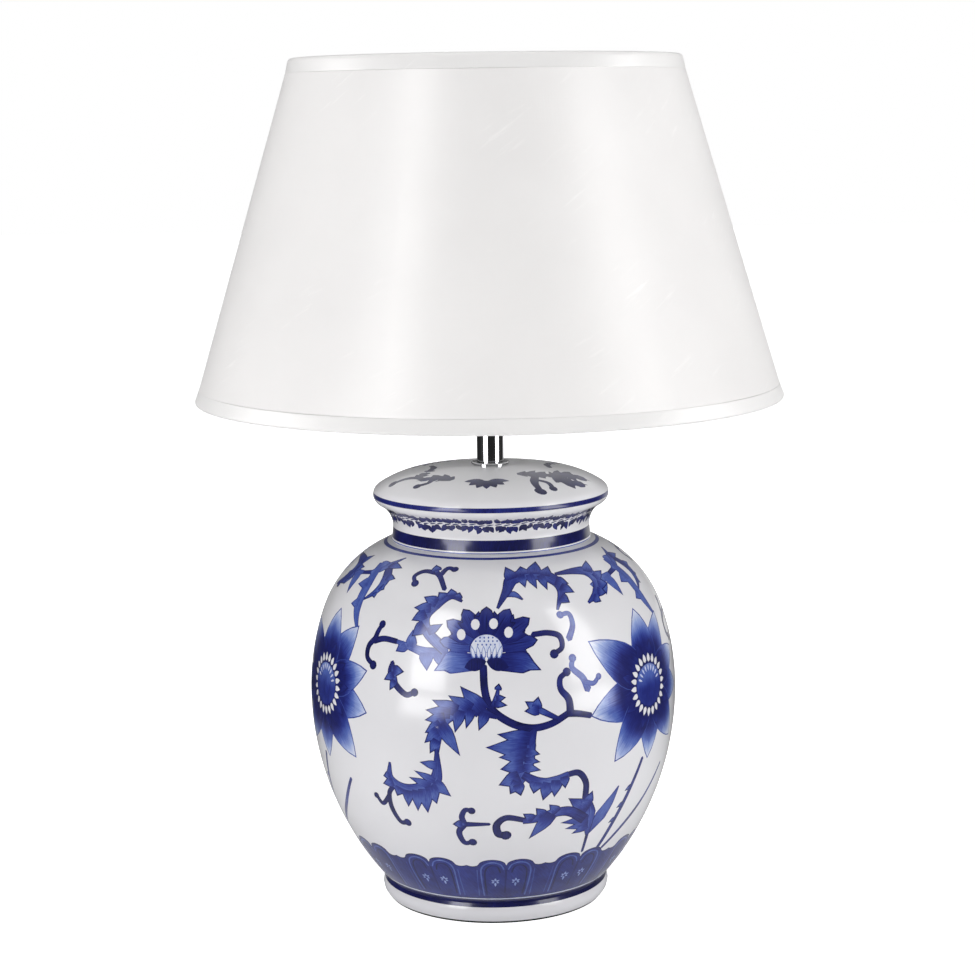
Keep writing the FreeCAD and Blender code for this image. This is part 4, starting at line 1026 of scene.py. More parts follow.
def right_leaves(canvas):
    frond(canvas, [(19.3, 132.5), (14.8, 137.2), (12, 140)], (2.5, 3.5, 4),
          [(0.8, 9.2, 144, 4.5), (0.9, 13.4, 146.3, 4.5), (0.7, 8.9, 138.3, 4.5)])
    frond(canvas, [(12, 127.5), (10, 119.5), (9, 109), (7.5, 100), (6.8, 93)], (3, 9, 10.5, 9, 3),
          [(0.18, 0.8, 125.7, 6.5), (0.30, -2.6, 118, 8), (0.42, 1.2, 112, 6), (0.56, 1.6, 104.8, 7),
           (0.74, 1.1, 95, 7), (0.86, 4.6, 89.2, 6), (0.92, 8.1, 87.8, 5), (0.35, 13.8, 112.7, 4),
           (0.46, 13.9, 108, 3.6), (0.58, 14.2, 103, 4)])
    frond(canvas, [(8.5, 101), (14, 95.2), (18.6, 95.8), (23, 99)], (4, 6.5, 5.5, 3.5),
          [(0.25, 11.9, 88.7, 5.5), (0.5, 15, 83.8, 6), (0.7, 18.7, 85.3, 5.5), (0.9, 22.2, 90, 4.5)],
          (0.80, 0.56, 0.66))
    frond(canvas, [(33.4, 57), (37.4, 68), (40.3, 76), (43, 85)], (2, 8.5, 6, 1), [], (0.70, 0.50, 0.62))
    frond(canvas, [(29.6, 84), (32, 71), (33.6, 57)], (4, 9.5, 2.5),
          [(0.4, 23.5, 83.7, 7), (0.25, 32.2, 86, 5), (0.36, 27.6, 82, 5), (0.6, 21.8, 68, 4.5),
           (0.7, 23.8, 63.5, 4.2), (0.8, 26.8, 59.3, 4)], (0.82, 0.60, 0.70))
    frond(canvas, [(31, 68), (24.5, 75), (18.4, 75), (13, 72.5), (9, 71.5)], (6, 6, 5.5, 5, 3.5),
          [(0.42, 17.2, 81.2, 4.5), (0.62, 12.9, 79.7, 4.5), (0.78, 8.8, 76.6, 4), (0.5, 11.3, 59.3, 6.5)])
    for angle, height in ((49.6, 82), (47.4, 72), (45.4, 63)):
        frond(canvas, [(angle, height), (angle - 1, height + 1)], (1.6, 1.2),
              [(0.5, angle - 3.2, height - 2, 2.2)])


# %% [markdown]
# Under the shoulder the leaves lie flatter, as there is less room. One of them crosses the edge of the sector.

# %% Leaves under the shoulder


def top_leaves(canvas):
    frond(canvas, [(-65, 204.5), (-72, 203), (-79, 201)], (3, 5, 2),
          [(0.2, -65.6, 192.5, 5.5), (0.5, -74, 195, 4.5)], HIGHLIGHT_PALE)
    frond(canvas, [(-51, 210), (-47.3, 204), (-48.5, 198), (-53, 192.5)], (5, 6.5, 4.5, 1),
          [(0.25, -42.4, 205.4, 4), (0.5, -44.8, 199.5, 4), (0.7, -47.5, 194.5, 3)])
    frond(canvas, [(-65, 204.5), (-56, 207), (-52.3, 210.6), (-46.8, 215)], (2.6, 3.5, 5.5, 1.2),
          [(0.7, -43, 210.5, 4)])
    frond(canvas, [(-24.3, 210.3), (-26, 212)], (3.0, 2.5), [(0.4, -26.9, 213.8, 4.5)])
    frond(canvas, [(4, 200), (8, 200.8), (11.2, 198)], (2, 4, 1))
    frond(canvas, [(1.8, 194), (5.5, 202.5), (8.5, 208), (16, 209.8), (24, 207.8), (27.3, 202), (23, 191.5)],
          (1.5, 5, 8, 8, 7, 6, 1.5),
          [(0.34, 6.2, 213.7, 5.5), (0.44, 13.3, 213.6, 6), (0.54, 21.8, 215.2, 6.5),
           (0.63, 26.6, 212.8, 5.5),
           (0.74, 31.5, 203.6, 5), (0.82, 32.2, 199, 4.5), (0.9, 28.7, 194.4, 4.5), (0.5, 17.5, 202.5, 4),
           (0.6, 21.5, 201.5, 4), (0.42, 13, 203.5, 4)], (0.82, 0.60, 0.72))
    frond(canvas, [(27.5, 208.8), (36.5, 209), (43.5, 207.8), (45.3, 203), (42, 197.5), (36, 193)],
          (2, 4.5, 7, 7, 6, 1.5),
          [(0.42, 48.8, 212.5, 5.5), (0.56, 52.2, 206.8, 5), (0.66, 50.2, 200.4, 5), (0.78, 46.5, 196, 4.5),
           (0.88, 42, 192.4, 4.5)], (0.80, 0.58, 0.70))
    frond(canvas, [(62, 211), (64.5, 200), (66, 188), (70, 176)], (5, 7, 6, 1.5),
          [(0.05, 67.4, 212, 4.5), (0.3, 58, 199, 5.5), (0.15, 59, 206, 4.5), (0.6, 61, 189, 4.5)], HIGHLIGHT_PALE)


# %% [markdown]
# ## Borders of the jar
# Lotus-petal panels stand round the foot: twelve pairs of lobes, each with a small sprig, and a plain strip
# between the pairs. Under them run a white line and a dark one, and a thin line circles the shoulder below
# the lid. All of it repeats evenly, so a loop draws it.

# %% Borders
PANEL = 30.0
PANEL_START = 4.0
FOOT_LINE_LOW, FOOT_LINE_HIGH, PANEL_FOOT = 9.0, 14.7, 15.6
SHOULDER_LINE_LOW, SHOULDER_LINE_HIGH = 216.6, 217.5
OUTER_LOBE = ((9.3, 18), (9.7, 30), (9.6, 38), (8.2, 42), (5.2, 43.6), (2.2, 42), (0.9, 38.5))
INNER_LOBE = ((8.0, 19), (8.4, 30), (8.1, 37), (7.0, 40.2), (5.2, 41.4), (3.2, 40.2), (2.2, 36))
SIDE_LINE = ((11.6, 18), (11.4, 28), (11.2, 38))


def band(canvas, low, high, ink, first, last, step=2.5):
    """A stripe all the way round; low and high are heights, or functions of the angle that give them."""
    angles = np.arange(first, last + step / 2, step)
    surface = canvas.surface

    def row(edge):
        heights = [edge(angle) if callable(edge) else edge for angle in angles]
        return [(radians(a) * surface.unit, canvas.place(height)) for a, height in zip(angles, heights)]
    outline = np.array(row(low) + row(high)[::-1])
    canvas.dabs.append((outline, (radians(first), canvas.place(low)), ink))


def panel_top(angle):
    """Height of the border's scalloped edge."""
    off = abs((angle - PANEL_START + PANEL / 2) % PANEL - PANEL / 2)
    if off > 10.6:
        return 41.6 - 0.8 * cos((off - 12.8) / 2.2 * pi / 2)
    return 41.5 + 4.2 * sqrt(max(1 - ((off - 5.3) / 5.3) ** 2, 0.0))


def jar_borders(canvas, first, last):
    before, after = first - 1, last + 1
    band(canvas, PANEL_FOOT, panel_top, 0.95, before, after, 0.5)
    band(canvas, PANEL_FOOT + OUTLINE, lambda a: panel_top(a) - 0.7, 0.80, before, after, 0.5)
    for index in range(-3, 4):
        centre = PANEL_START + index * PANEL
        if centre < first - PANEL or centre > last + PANEL:
            continue
        for sign in (-1, 1):
            for points, widths, ink in ((OUTER_LOBE, (0.6, 0.7, 0.6), 0.46), (INNER_LOBE, (0.7, 0.7), 0.92),
                                        (SIDE_LINE, (0.5, 0.5), 0.55)):
                ribbon(canvas, [(centre + sign * off, height) for off, height in points], widths, (ink,))
            sprig(canvas, centre + sign * 4.2, 29)
        ribbon(canvas, [(centre, 38), (centre, 30), (centre, 20)], (0.8, 0.6), (0.88,))
    band(canvas, FOOT_LINE_HIGH, PANEL_FOOT, 0.12, before, after)
    band(canvas, FOOT_LINE_LOW, FOOT_LINE_HIGH, 0.97, before, after)
    band(canvas, SHOULDER_LINE_LOW, SHOULDER_LINE_HIGH, 0.72, before, after)


def sprig(canvas, angle, height):
    origin = canvas.flat([(angle, height)])[1]
    for turn, reach in ((90, 3.4), (38, 3.0), (142, 3.0), (-20, 2.4), (200, 2.4), (-90, 4.4)):
        canvas.dab(lens(around(turn, 0.7), around(turn, reach), 1.3, 5), origin, 0.36)


def paint_jar(first, last):
    canvas = Canvas(JAR, lambda height: JAR.along_at_height(height + FELT_THICK))
    for draw in (stems_and_curls, left_leaves, right_leaves, top_leaves):
        draw(canvas)
    large_flower(canvas, 56, 141)
    lotus(canvas, -2, 176)
    jar_borders(canvas, first, last)
    return canvas


# %% [markdown]
# ## Painting of the lid
# A dark band runs round the skirt, small sprigs fill the hollow above it, a line follows the rim, and the
# dome has two sprays, each a half lotus with a scroll to either side. The sprigs are many and small, so a
# loop with a fixed random seed scatters their leaves, the same ones in each run. Heights are above the
# lid's seat. A place on the dome is written as DOME_FROM less its radius, which tells it from a height.

# %% Lid painting
DOME_FROM = 100
HIGHEST = 30
SPRIGS = 39
SPRIG_HEIGHT = 18.0
SPRIG_LEAVES = (62, 128, -52, -122, 95)


def lid_place(value):
    return LID.along_at_height(SEAT + value) if value < HIGHEST else LID.along_at_radius(DOME_FROM - value)


def sprigs(canvas, first, last):
    spread = np.random.default_rng(7)
    for index in range(SPRIGS):
        angle = first + (index + 0.5) * (last - first) / SPRIGS
        origin = canvas.flat([(angle, SPRIG_HEIGHT + spread.uniform(-0.8, 0.8))])[1]
        canvas.dab(lens((-2.4, -0.5), (2.4, 0.5), 1.1, 5), origin, 0.9)
        for turn in SPRIG_LEAVES:
            turn += spread.uniform(-16, 16)
            base = np.array((spread.uniform(-1.3, 1.3), 0.7 if turn > 0 else -0.7))
            tip = base + around(turn, spread.uniform(4.8, 6.8))
            width, ink = spread.uniform(3.0, 3.9), spread.uniform(0.84, 0.97)
            canvas.dab(lens(base + around(turn, 0.4), tip, width, 6), origin, ink)


def paint_lid(first, last):
    canvas = Canvas(LID, lid_place)
    for low, high, ink in ((1.9, 8.4, 0.97), (0.5, 1.1, 0.60), (26.4, 29.2, 0.84)):
        band(canvas, low, high, ink, first - 1, last + 1)
    sprigs(canvas, first, last)
    spray(canvas)
    return canvas


def spray(canvas):
    """Half lotus pointing out, a large scroll on its right and a smaller one on its left."""
    dark, inks = (0.97,), (0.97, 0.90)

    def at(*points):
        return [(angle, DOME_FROM - radius) for angle, radius in points]
    origin = canvas.flat(at((-3, 43)))[1]
    for turn in (-70, -46, -22, 2, 26, 50, 74):
        canvas.dab(lens(around(turn - 90, 2.0), around(turn - 90, 14.0), 6.6, 8), origin, 0.97)
    leaf(canvas, at((27, 34), (38, 37), (47, 42), (55, 50)), 4.6, 4, inks)
    ribbon(canvas, at((42, 40), (34, 46), (29, 53), (28, 61)), (3.0, 3.6, 2.6), dark, 2.6)
    ribbon(canvas, at((33, 48), (38, 54), (37, 60)), (2.4, 2.4), dark, 2.0)
    leaf(canvas, at((52, 46), (59, 47), (66, 52), (72, 61)), 5.4, 4, inks)
    leaf(canvas, at((50, 48), (51, 54), (56, 59), (63, 63)), 4.4, 3, inks)
    leaf(canvas, at((-29, 46), (-37, 44), (-46, 46), (-54, 53)), 4.2, 4, inks)
    ribbon(canvas, at((-46, 47), (-43, 53), (-47, 58)), (2.6, 2.4), dark, 2.0)
    ribbon(canvas, at((-52, 50), (-60, 50), (-67, 54), (-70, 61)), (3.2, 3.2, 2.4), dark, 2.4)
    leaf(canvas, at((-60, 51), (-63, 45), (-68, 41)), 3.2, 2, inks)
    ribbon(canvas, at((80, 36), (95, 34), (108, 38)), (2.2, 3.0, 2.2), dark, 2.2)


# %% [markdown]
# ## From dabs to glaze
# The blue has to be as sharp as a brush leaves it. So the unrolled sheet is cut along the outline of every
# dab, and each triangle takes the topmost dab that covers it. Only one sector is cut. A dab that reaches
# over its edge is laid on both sides, so that copies of the sector meet.

# %% Cutting the sheet
COLUMN_ANGLE = 2.0
CUT_GAP = 1e-5


def sheet_grid(surface, first, last):
    """Points and squares of one sector of the unrolled surface."""
    columns = round((last - first) / COLUMN_ANGLE)
    across = np.radians(np.linspace(first, last, columns + 1)) * surface.unit
    points = [(x, y) for y in surface.along for x in across]
    faces = []
    for row in range(len(surface.along) - 1):
        for column in range(columns):
            corner = row * (columns + 1) + column
            faces.append([corner, corner + 1, corner + columns + 2, corner + columns + 1])
    return points, faces, across


def cut_sheet(surface, canvas, first, last):
    """Vertices, triangles and the top dab of each for one sector of the surface."""
    points, faces, across = sheet_grid(surface, first, last)
    grid_faces = len(faces)
    sector = radians(last - first) * surface.unit
    owners = []
    for index, (outline, _, _) in enumerate(canvas.dabs):
        for shift in (-sector, 0.0, sector):
            moved = outline + np.array([shift, 0.0])
            if moved[:, 0].max() < across[0] or moved[:, 0].min() > across[-1]:
                continue
            moved[:, 1] = np.clip(moved[:, 1], surface.along[0], surface.along[-1])
            faces.append(list(range(len(points), len(points) + len(moved))))
            points.extend(map(tuple, moved))
            owners.append((index, shift))
    cut = delaunay_2d_cdt([Vector(p) for p in points], [], faces, 0, CUT_GAP, True)
    verts, tris, sources = cut[0], cut[2], cut[5]
    kept = [(face, max(source) - grid_faces) for face, source in zip(tris, sources)
            if source and min(source) < grid_faces]
    verts = np.array([tuple(v) for v in verts])
    return verts, np.array([face for face, _ in kept]), np.array([top for _, top in kept]), owners


# %% [markdown]
# ## Ink
# The porcelain reads its ink from the mesh: how strong it is, and where in the stroke a place lies, so that
# the streaks follow the brush. Each dab gets streaks of its own by a small shift that grows with its
# number.

# %% Ink at the corners


def ink_corners(surface, canvas, verts, tris, top, owners):
    """Strength and brush place at each corner of each triangle."""
    paint = np.zeros((len(tris), 3, 4), np.float32)
    paint[..., 3] = 1.0
    for owner in np.unique(top[top >= 0]):
        index, shift = owners[owner]
        _, origin, ink = canvas.dabs[index]
        rows = np.nonzero(top == owner)[0]
        places = verts[tris[rows]].reshape(-1, 2) - np.array([shift, 0.0])
        turn = places[:, 0] / surface.unit - origin[0]
        flat = np.stack([turn * surface.radius_at(places[:, 1]), places[:, 1] - origin[1]], axis=1)
        plain = (ink, flat[:, 0] / STREAK, flat[:, 1] / STREAK)
        strength, across, along = ink(flat) if callable(ink) else plain
        values = np.ones((len(flat), 4), np.float32)
        values[:, 0] = np.clip(strength, 0, 1)
        values[:, 1] = across + owner * 0.37
        values[:, 2] = along + owner * 0.61
        paint[rows] = values.reshape(-1, 3, 4)
    return paint


# %% [markdown]
# ## Rolling up
# The cut sheet is rolled back round the axis and copied until the circle is full. The foot, the collar and
# the inside have no painting, so plain squares close them. The picture map keeps both apart: the painted
# side takes its lower 0.7, the plain side the part from 0.72 up.

# %% Rolling and closing
PAINTED_MAP, PLAIN_MAP, PLAIN_SPAN = 0.7, 0.72, 0.27
WELD, SHARP = 2e-6, radians(35)


def roll(surface, places):
    """Places in space, in metres, of points on the unrolled surface."""
    turn = places[:, 0] / surface.unit
    radius = surface.radius_at(places[:, 1])
    height = np.interp(places[:, 1], surface.along, surface.height)
    return np.stack([radius * np.sin(turn), -radius * np.cos(turn), height], axis=1) * MM


def painted_side(surface, verts, tris, first, last):
    """Points, triangles and map places of the sector and its copies."""
    sector = radians(last - first) * surface.unit
    space, faces, chart = [], [], []
    for copy in range(round(360 / (last - first))):
        moved = verts + np.array([sector * copy, 0.0])
        space.append(roll(surface, moved))
        faces.append(tris + len(verts) * copy)
        turned = moved[tris].reshape(-1, 2)
        chart.append(np.stack([(turned[:, 0] / surface.unit - radians(first)) / (2 * pi),
                               turned[:, 1] / surface.along[-1] * PAINTED_MAP], axis=1))
    return space, [list(map(int, face)) for part in faces for face in part], chart


def plain_side(rest, first, base):
    """Points, squares and map places of the unpainted part; base is the number of points before it."""
    count = round(360 / COLUMN_ANGLE)
    angles = np.radians(first + np.arange(count) * 360.0 / count)
    ring = np.array([[r * sin(a), -r * cos(a), h] for r, h in rest for a in angles]) * MM
    faces, chart = [], []
    for row in range(len(rest) - 1):
        low, high = base + row * count, base + (row + 1) * count
        down, over = [PLAIN_MAP + PLAIN_SPAN * part / (len(rest) - 1) for part in (row, row + 1)]
        for column in range(count):
            after = (column + 1) % count
            faces.append([low + column, low + after, high + after, high + column])
            left, right = column / count, (column + 1) / count
            chart += [(left, down), (right, down), (right, over), (left, over)]
    return ring, faces, chart


def weld(mesh):
    """Joins the copies, marks corners as sharp and returns how many edges are left open."""
    work = bmesh.new()
    work.from_mesh(mesh)
    bmesh.ops.remove_doubles(work, verts=work.verts, dist=WELD)
    for edge in work.edges:
        if len(edge.link_faces) == 2 and edge.calc_face_angle() > SHARP:
            edge.smooth = False
    open_edges = sum(1 for edge in work.edges if len(edge.link_faces) != 2)
    work.to_mesh(mesh)
    work.free()
    return open_edges


def painted_shell(name, surface, canvas, rest, first, last):
    """The painted outside and the plain rest of a turned piece as one welded mesh."""
    verts, tris, top, owners = cut_sheet(surface, canvas, first, last)
    paint = ink_corners(surface, canvas, verts, tris, top, owners).reshape(-1, 4)
    space, faces, chart = painted_side(surface, verts, tris, first, last)
    ring, plain_faces, plain_chart = plain_side(rest, first, len(verts) * len(space))
    mesh = bpy.data.meshes.new(name)
    mesh.from_pydata([tuple(p) for p in np.vstack(space + [ring])], [], faces + plain_faces)
    bare = np.tile(np.array([0, 0, 0, 1], np.float32), (len(plain_faces) * 4, 1))
    layer = mesh.color_attributes.new("paint", "FLOAT_COLOR", "CORNER")
    layer.data.foreach_set("color", np.vstack([paint] * len(space) + [bare]).ravel())
    layer = mesh.uv_layers.new(name="OFBake")
    layer.data.foreach_set("uv", np.vstack(chart + [np.array(plain_chart)]).astype(np.float32).ravel())
    mesh.shade_smooth()
    piece = bpy.data.objects.new(name, mesh)
    bpy.context.scene.collection.objects.link(piece)
    open_edges = weld(mesh)
    mesh.materials.append(PORCELAIN_GLAZE)
    print(name, len(mesh.polygons), "faces,", len(canvas.dabs), "dabs,", open_edges, "open edges")
    return piece


# %% [markdown]
# ## The jar and the lid
# The jar's painting comes round three times and the lid's twice. Both ride the lamp's body and take the place
# of the imported model's plain jar and lid, which are hidden.

# %% Make the jar and the lid
jar = painted_shell("painted_jar", JAR, paint_jar(-64, 56), jar_rest, -64, 56)
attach(jar, "lamp")
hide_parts("jar_body")
lid = painted_shell("painted_lid", LID, paint_lid(-86, 94), lid_rest, -86, 94)
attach(lid, "lamp")
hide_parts("jar_lid")

# %% [markdown]
# ## The shade's cloth
# A shade's cover is a strip of cloth rolled into a cone, with a lapped seam at the back. A cone could be
# made in one step, but this one needs rows up its height, so that the cloth can sag, and a thickness. So it
# is made as by hand: a circle, extruded and scaled row by row, up the outside and down the inside, until it
# meets its first row again.

# %% Extruding a ring
SHADE_LOW, SHADE_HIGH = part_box("shade_bottom_trim")[0].z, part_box("shade_top_trim")[1].z
SHADE_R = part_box("shade_bottom_trim")[1].x
SHADE_TOP_R = 114.5 * MM
SIDES = 240
JOIN = 1e-5


def shade_share(height):
    return (height - SHADE_LOW) / (SHADE_HIGH - SHADE_LOW)


def shade_radius(height, inward):
    return SHADE_R + (SHADE_TOP_R - SHADE_R) * shade_share(height) - inward


def ring_piece(name, rows, finish):
    """A closed ring: a circle at the first (radius, height), in metres, extruded through the others."""
    bpy.ops.object.select_all(action="DESELECT")
    radius, height = rows[0]
    bpy.ops.mesh.primitive_circle_add(vertices=SIDES, radius=radius, location=(0, 0, height), calc_uvs=False)
    bpy.ops.object.transform_apply(location=True, rotation=True, scale=True)
    bpy.ops.object.mode_set(mode="EDIT")
    bpy.ops.mesh.select_all(action="SELECT")
    for next_radius, next_height in rows[1:] + rows[:1]:
        bpy.ops.mesh.extrude_region_move(TRANSFORM_OT_translate={"value": (0, 0, next_height - height)})
        wider = next_radius / radius
        bpy.ops.transform.resize(value=(wider, wider, 1.0), center_override=(0, 0, 0))
        radius, height = next_radius, next_height
    bpy.ops.mesh.select_all(action="SELECT")
    bpy.ops.mesh.remove_doubles(threshold=JOIN)
    bpy.ops.mesh.normals_make_consistent(inside=False)
    bpy.ops.object.mode_set(mode="OBJECT")
    bpy.ops.object.shade_smooth()
    piece = bpy.context.object
    piece.name = piece.data.name = name
    piece.data.materials.append(finish)
    print(name, len(piece.data.vertices), "points,", len(piece.data.polygons), "faces")
    return piece


# %% [markdown]
# Cloth is never quite true. Between its edges it sags a tenth of a millimetre and waves a little, and the
# lap at the back stands out by the thickness of the cloth. A sculpting brush could do this, but it can't be
# repeated; a sum of three waves can.

# %% Cover
ROWS = 40
UNDER_TAPE, CLOTH_THICK, EDGE_GAP = 0.60 * MM, 0.35 * MM, 0.8 * MM
LAP_HALF = radians(2.6)


def sag(angle, height):
    middle = max(sin(pi * min(max(shade_share(height), 0.0), 1.0)), 0.0)
    wave = 0.10 * sin(3 * angle + 0.6) + 0.06 * sin(7 * angle + 2.0) + 0.04 * sin(13 * angle + 1.0)
    lap = CLOTH_THICK if abs(angle) < LAP_HALF else 0.0
    return (wave - 0.12) * middle * MM + lap


cover_rows = []
low_edge, high_edge = SHADE_LOW + EDGE_GAP, SHADE_HIGH - EDGE_GAP
for index in range(ROWS + 1):
    height = low_edge + (high_edge - low_edge) * index / ROWS
    cover_rows.append((shade_radius(height, UNDER_TAPE), height))
inner_rows = [(radius - CLOTH_THICK, height) for radius, height in cover_rows[::-1]]
cover = ring_piece("shade_fabric", cover_rows + inner_rows, SATIN)
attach(cover, "shade")
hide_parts("shade_cover")
for vertex in cover.data.vertices:
    x, y, height = vertex.co
    wider = 1 + sag(atan2(x, y), height) / hypot(x, y)
    vertex.co = (x * wider, y * wider, height)

# %% [markdown]
# ## The shade's tapes
# Each edge is bound by a tape rolled over the wire: a flat band outside, a round roll, and a short band
# inside. It is the same kind of ring with another outline, and the top one is the bottom one turned over.

# %% Tapes
TAPE_OUTLINE = ((9.0, 0.64), (8.2, 0.54), (7.2, 0.46), (5.8, 0.36), (4.2, 0.24), (2.6, 0.10), (1.4, 0.12),
                (0.6, 0.55), (0.15, 1.4), (0.0, 2.6), (0.15, 3.8), (0.7, 4.8), (1.8, 5.25), (3.5, 5.35),
                (5.8, 5.3), (6.0, 5.1), (5.8, 4.9), (3.4, 4.85), (1.2, 4.4), (0.7, 2.8), (1.0, 1.0),
                (3.0, 0.62), (8.6, 0.60))
TAPES = []
for label, edge, away in (("bottom", SHADE_LOW, MM), ("top", SHADE_HIGH, -MM)):
    heights = [edge + away * distance for distance, _ in TAPE_OUTLINE]
    rows = [(shade_radius(height, inward * MM), height) for height, (_, inward) in zip(heights, TAPE_OUTLINE)]
    tape = ring_piece("shade_tape_" + label, rows, TAPE)
    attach(tape, "shade")
    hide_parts(f"shade_{label}_trim")
    TAPES.append(tape)
print("shade from", round(SHADE_LOW, 4), "to", round(SHADE_HIGH, 4), "m, radius", round(SHADE_R, 4), "m")

# %% [markdown]
# ## Camera
# The photograph was taken with a long lens, from a little below the shade's top, looking down nine degrees
# and held a little askew. These numbers were found by comparing renders with it. A camera could be pointed by
# a constraint, but then its roll would be lost, so the turn is written out.

# %% Camera
CAMERA_BACK, CAMERA_UP = 1.376, 0.4734
PITCH, ROLL = radians(9.23), radians(0.75)
LENS, SENSOR, SHIFT = 85.7, 36.0, -3.2 / 975
camera_data = bpy.data.cameras.new("camera")
camera_data.lens = LENS
camera_data.sensor_width = SENSOR
camera_data.shift_x = SHIFT
camera = bpy.data.objects.new("camera", camera_data)
turn = Matrix.Rotation(pi / 2 - PITCH, 4, "X") @ Matrix.Rotation(-ROLL, 4, "Z")
camera.matrix_world = Matrix.Translation((0, -CAMERA_BACK, CAMERA_UP)) @ turn
bpy.context.scene.collection.objects.link(camera)
bpy.context.scene.camera = camera
print("camera", CAMERA_BACK, "m in front and", CAMERA_UP, "m up, lens", LENS, "mm")

# %% [markdown]
# ## Floor
# The lamp stands on white paper in a white room. Glaze and plating mirror that room, and a white one alone
# would leave them flat. So the far floor carries painted reflections: it is painted dark to mirrors only, and
# two bands further out glow to mirrors only, standing for the feet of the soft boxes.
# The picture itself sees plain white. A Light Path node tells the kinds of ray apart.

# %% Floor
FLOOR_SIZE = 16.0
DARK_FROM, DARK_TO, BANDS_FROM, BANDS_TO = 0.10, 0.45, 0.85, 1.05
BAND_GLOW, PAPER_GLOW = 5.0, 0.92


def grey(value):
    return (value,) * 3


def turn_round(tree, x, y):
    """The direction round the axis as 0 to 1, with the camera's side at 0.5."""
    azimuth = maths(tree, "ARCTAN2", x, maths(tree, "MULTIPLY", y, -1.0))
    return maths(tree, "MULTIPLY_ADD", azimuth, 1 / (2 * pi), 0.5)


def floor_paper(tree, shader):
    fibre = noise(tree, object_place(tree), 300.0, 3.0)
    colour = ramp(tree, fibre, [(0.3, grey(0.86)), (0.7, grey(0.88))])
    rays = node(tree, "ShaderNodeLightPath")
    away = node(tree, "ShaderNodeVectorMath", {"operation": "LENGTH"}, i0=object_place(tree)).outputs["Value"]
    far = node(tree, "ShaderNodeMapRange", Value=away, From_Min=DARK_FROM, From_Max=DARK_TO).outputs["Result"]
    # Painted reflection: past DARK_FROM the floor turns dark to glossy rays only.
    mirror_dark = maths(tree, "MULTIPLY", far, rays.outputs["Is Glossy Ray"])
    colour = node(tree, "ShaderNodeMix", {"data_type": "RGBA"}, Factor=mirror_dark, A=colour,
                  B=(0.03, 0.03, 0.03, 1.0)).outputs["Result"]
    # Painted reflection: two bands past BANDS_FROM glow to glossy rays only, for the feet of the soft boxes.
    place = node(tree, "ShaderNodeSeparateXYZ", Vector=object_place(tree))
    bands = ramp(tree, turn_round(tree, place.outputs["X"], place.outputs["Y"]), [
        (0.00, grey(0.1)), (0.10, grey(0.0)), (0.335, grey(0.0)), (0.350, grey(1.0)), (0.425, grey(1.0)),
        (0.440, grey(0.0)), (0.625, grey(0.0)), (0.640, grey(1.0)), (0.705, grey(1.0)), (0.72, grey(0.0)),
        (0.86, grey(0.0)), (0.90, grey(0.1))])
    beyond = node(tree, "ShaderNodeMapRange", Value=away, From_Min=BANDS_FROM,
                  From_Max=BANDS_TO).outputs["Result"]
    glow = maths(tree, "MULTIPLY", maths(tree, "MULTIPLY", bands, beyond), rays.outputs["Is Glossy Ray"])
    paper = maths(tree, "MULTIPLY", rays.outputs["Is Camera Ray"], PAPER_GLOW)
    glow = maths(tree, "MULTIPLY_ADD", glow, BAND_GLOW, paper)
    shader_set(tree, shader, Base_Color=colour, Roughness=0.9, Specular_IOR_Level=0.1,
               Emission_Color=(1.0, 1.0, 1.0, 1.0), Emission_Strength=glow)


bpy.ops.object.select_all(action="DESELECT")
bpy.ops.mesh.primitive_plane_add(size=FLOOR_SIZE, location=(0, 0, 0))
floor_piece = bpy.context.object
floor_piece.name = "floor"
floor_piece.data.materials.append(material("floor_paper", floor_paper))
print("floor", FLOOR_SIZE, "m wide")

# %% [markdown]
# ## Lamps
# Two tall soft boxes in front give the upright highlights on the glaze. Large fills at the sides, a small
# one low in front and one overhead light the surfaces, and stay out of mirrors. Two more boxes at the sides
# give the tapes their sheen. An area light is used for all of them, since its shape shows in the glaze.

# %% Lamps


def panel_light(name, azimuth, distance, centre, tilt, width, height, power):
    """A rectangular light that faces the axis at a given height, tilted down by tilt."""
    data = bpy.data.lights.new(name, "AREA")
    data.shape = "RECTANGLE"
    data.size, data.size_y = width, height
    data.energy = power
    lamp = bpy.data.objects.new(name, data)
    a, e = radians(azimuth), radians(tilt)
    back = Vector((sin(a) * cos(e), -cos(a) * cos(e), sin(e)))
    lamp.location = (sin(a) * distance, -cos(a) * distance, centre)
    lamp.rotation_mode = "QUATERNION"
    lamp.rotation_quaternion = back.to_track_quat("Z", "Y")
    lamp.visible_camera = False
    bpy.context.scene.collection.objects.link(lamp)
    return lamp


strips = [panel_light(name, azimuth, 1.3, 1.1, 0, 0.5, 1.8, power)
          for name, azimuth, power in (("left_strip", -40, 17.0), ("right_strip", 58, 12.0))]
fills = [panel_light("left_fill", -62, 2.4, 0.55, 4, 1.2, 1.5, 33.0),
         panel_light("right_fill", 74, 2.4, 0.55, 4, 1.2, 1.5, 36.0),
         panel_light("low_fill", 5, 0.9, 0.10, 4, 0.5, 0.18, 0.8)]
sheens = [panel_light(name, azimuth, 2.0, 0.45, 0, 0.8, 1.6, 34.0)
          for name, azimuth in (("left_sheen", -88), ("right_sheen", 86))]
fills.append(panel_light("top_fill", 0, 0.01, 2.4, 89.9, 1.4, 1.4, 19.0))
print("lamps", [lamp.name for lamp in strips + fills + sheens])

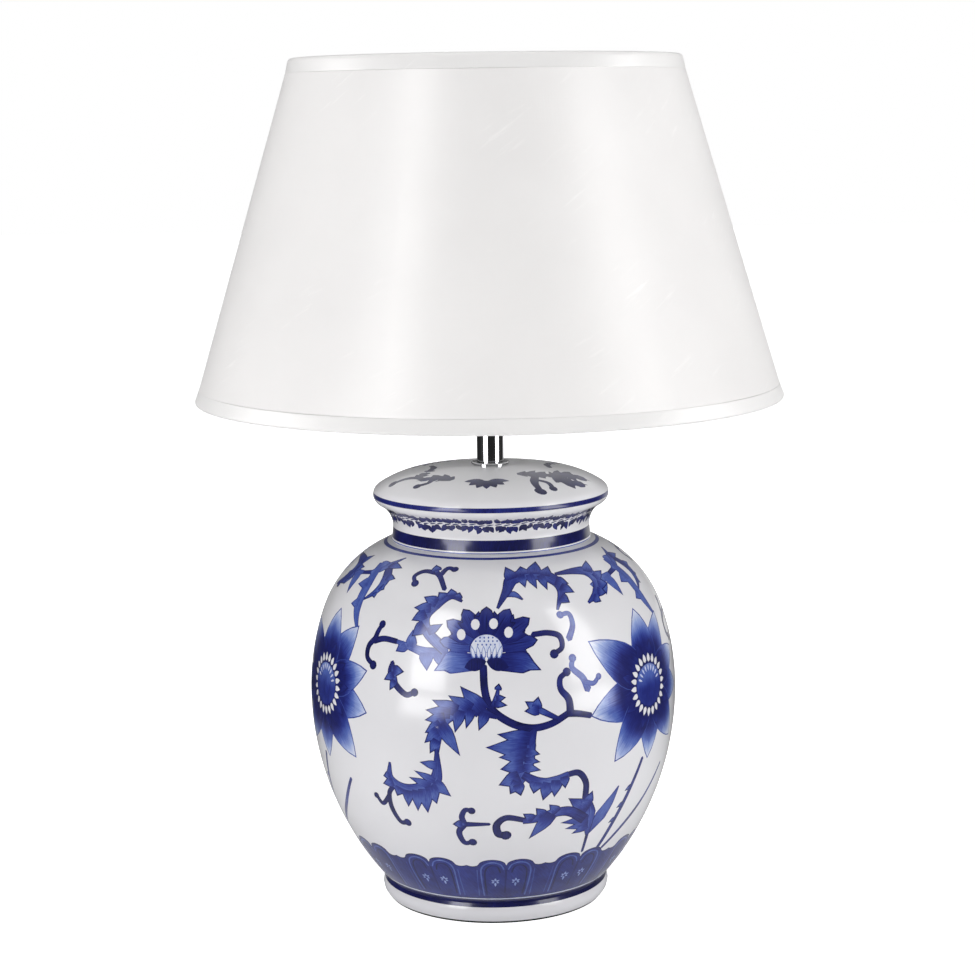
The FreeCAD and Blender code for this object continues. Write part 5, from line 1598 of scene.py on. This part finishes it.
# %% [markdown]
# ## What each lamp reaches
# A lamp can be kept out of diffuse or glossy light as a whole. To choose by piece, Blender links a lamp to
# a collection of receivers. The strips reach everything but the tapes, and the sheens reach the tapes
# alone.

# %% Light linking
tapes_only, all_but_tapes = [bpy.data.collections.new(name) for name in ("tapes_only", "all_but_tapes")]
for tape in TAPES:
    tapes_only.objects.link(tape)
    all_but_tapes.objects.link(tape)
for lamps, receivers in ((strips, all_but_tapes), (sheens, tapes_only)):
    for lamp in lamps:
        lamp.visible_diffuse = False
        lamp.light_linking.receiver_collection = receivers
for member in all_but_tapes.collection_objects:
    member.light_linking.link_state = "EXCLUDE"
for lamp in fills:
    lamp.visible_glossy = False

# %% [markdown]
# ## Surround
# The room is white to the camera and a soft grey to the surfaces. What mirrors see of it is nearly black,
# with a paler patch at the back, so that the plated stem has its dark bands. A photograph of a room could
# stand here, but bands are all that the plating shows, and a ramp round the axis gives them.

# %% Surround
world = bpy.data.worlds.new("surround")
bpy.context.scene.world = world
world.use_nodes = True
tree = world.node_tree
background = tree.nodes["Background"]
sight = node(tree, "ShaderNodeTexCoord").outputs["Generated"]
way = node(tree, "ShaderNodeSeparateXYZ", Vector=sight)
mirrored = ramp(tree, turn_round(tree, way.outputs["X"], way.outputs["Y"]), [
    (0.00, grey(0.12)), (0.06, grey(0.05)), (0.82, grey(0.05)), (0.87, grey(0.16)),
    (1.00, grey(0.14))], "EASE")
rays = node(tree, "ShaderNodeLightPath")
diffuse = node(tree, "ShaderNodeMix", {"data_type": "RGBA"}, Factor=rays.outputs["Is Glossy Ray"],
               A=(0.36, 0.36, 0.365, 1.0), B=mirrored).outputs["Result"]
seen = node(tree, "ShaderNodeMix", {"data_type": "RGBA"}, Factor=rays.outputs["Is Camera Ray"], A=diffuse,
            B=(1.0, 1.0, 1.0, 1.0)).outputs["Result"]
link(tree, seen, background.inputs["Color"])
link(tree, 1.0, background.inputs["Strength"])
bpy.context.scene.view_settings.view_transform = "Standard"
print("surround with", len(tree.nodes), "nodes")
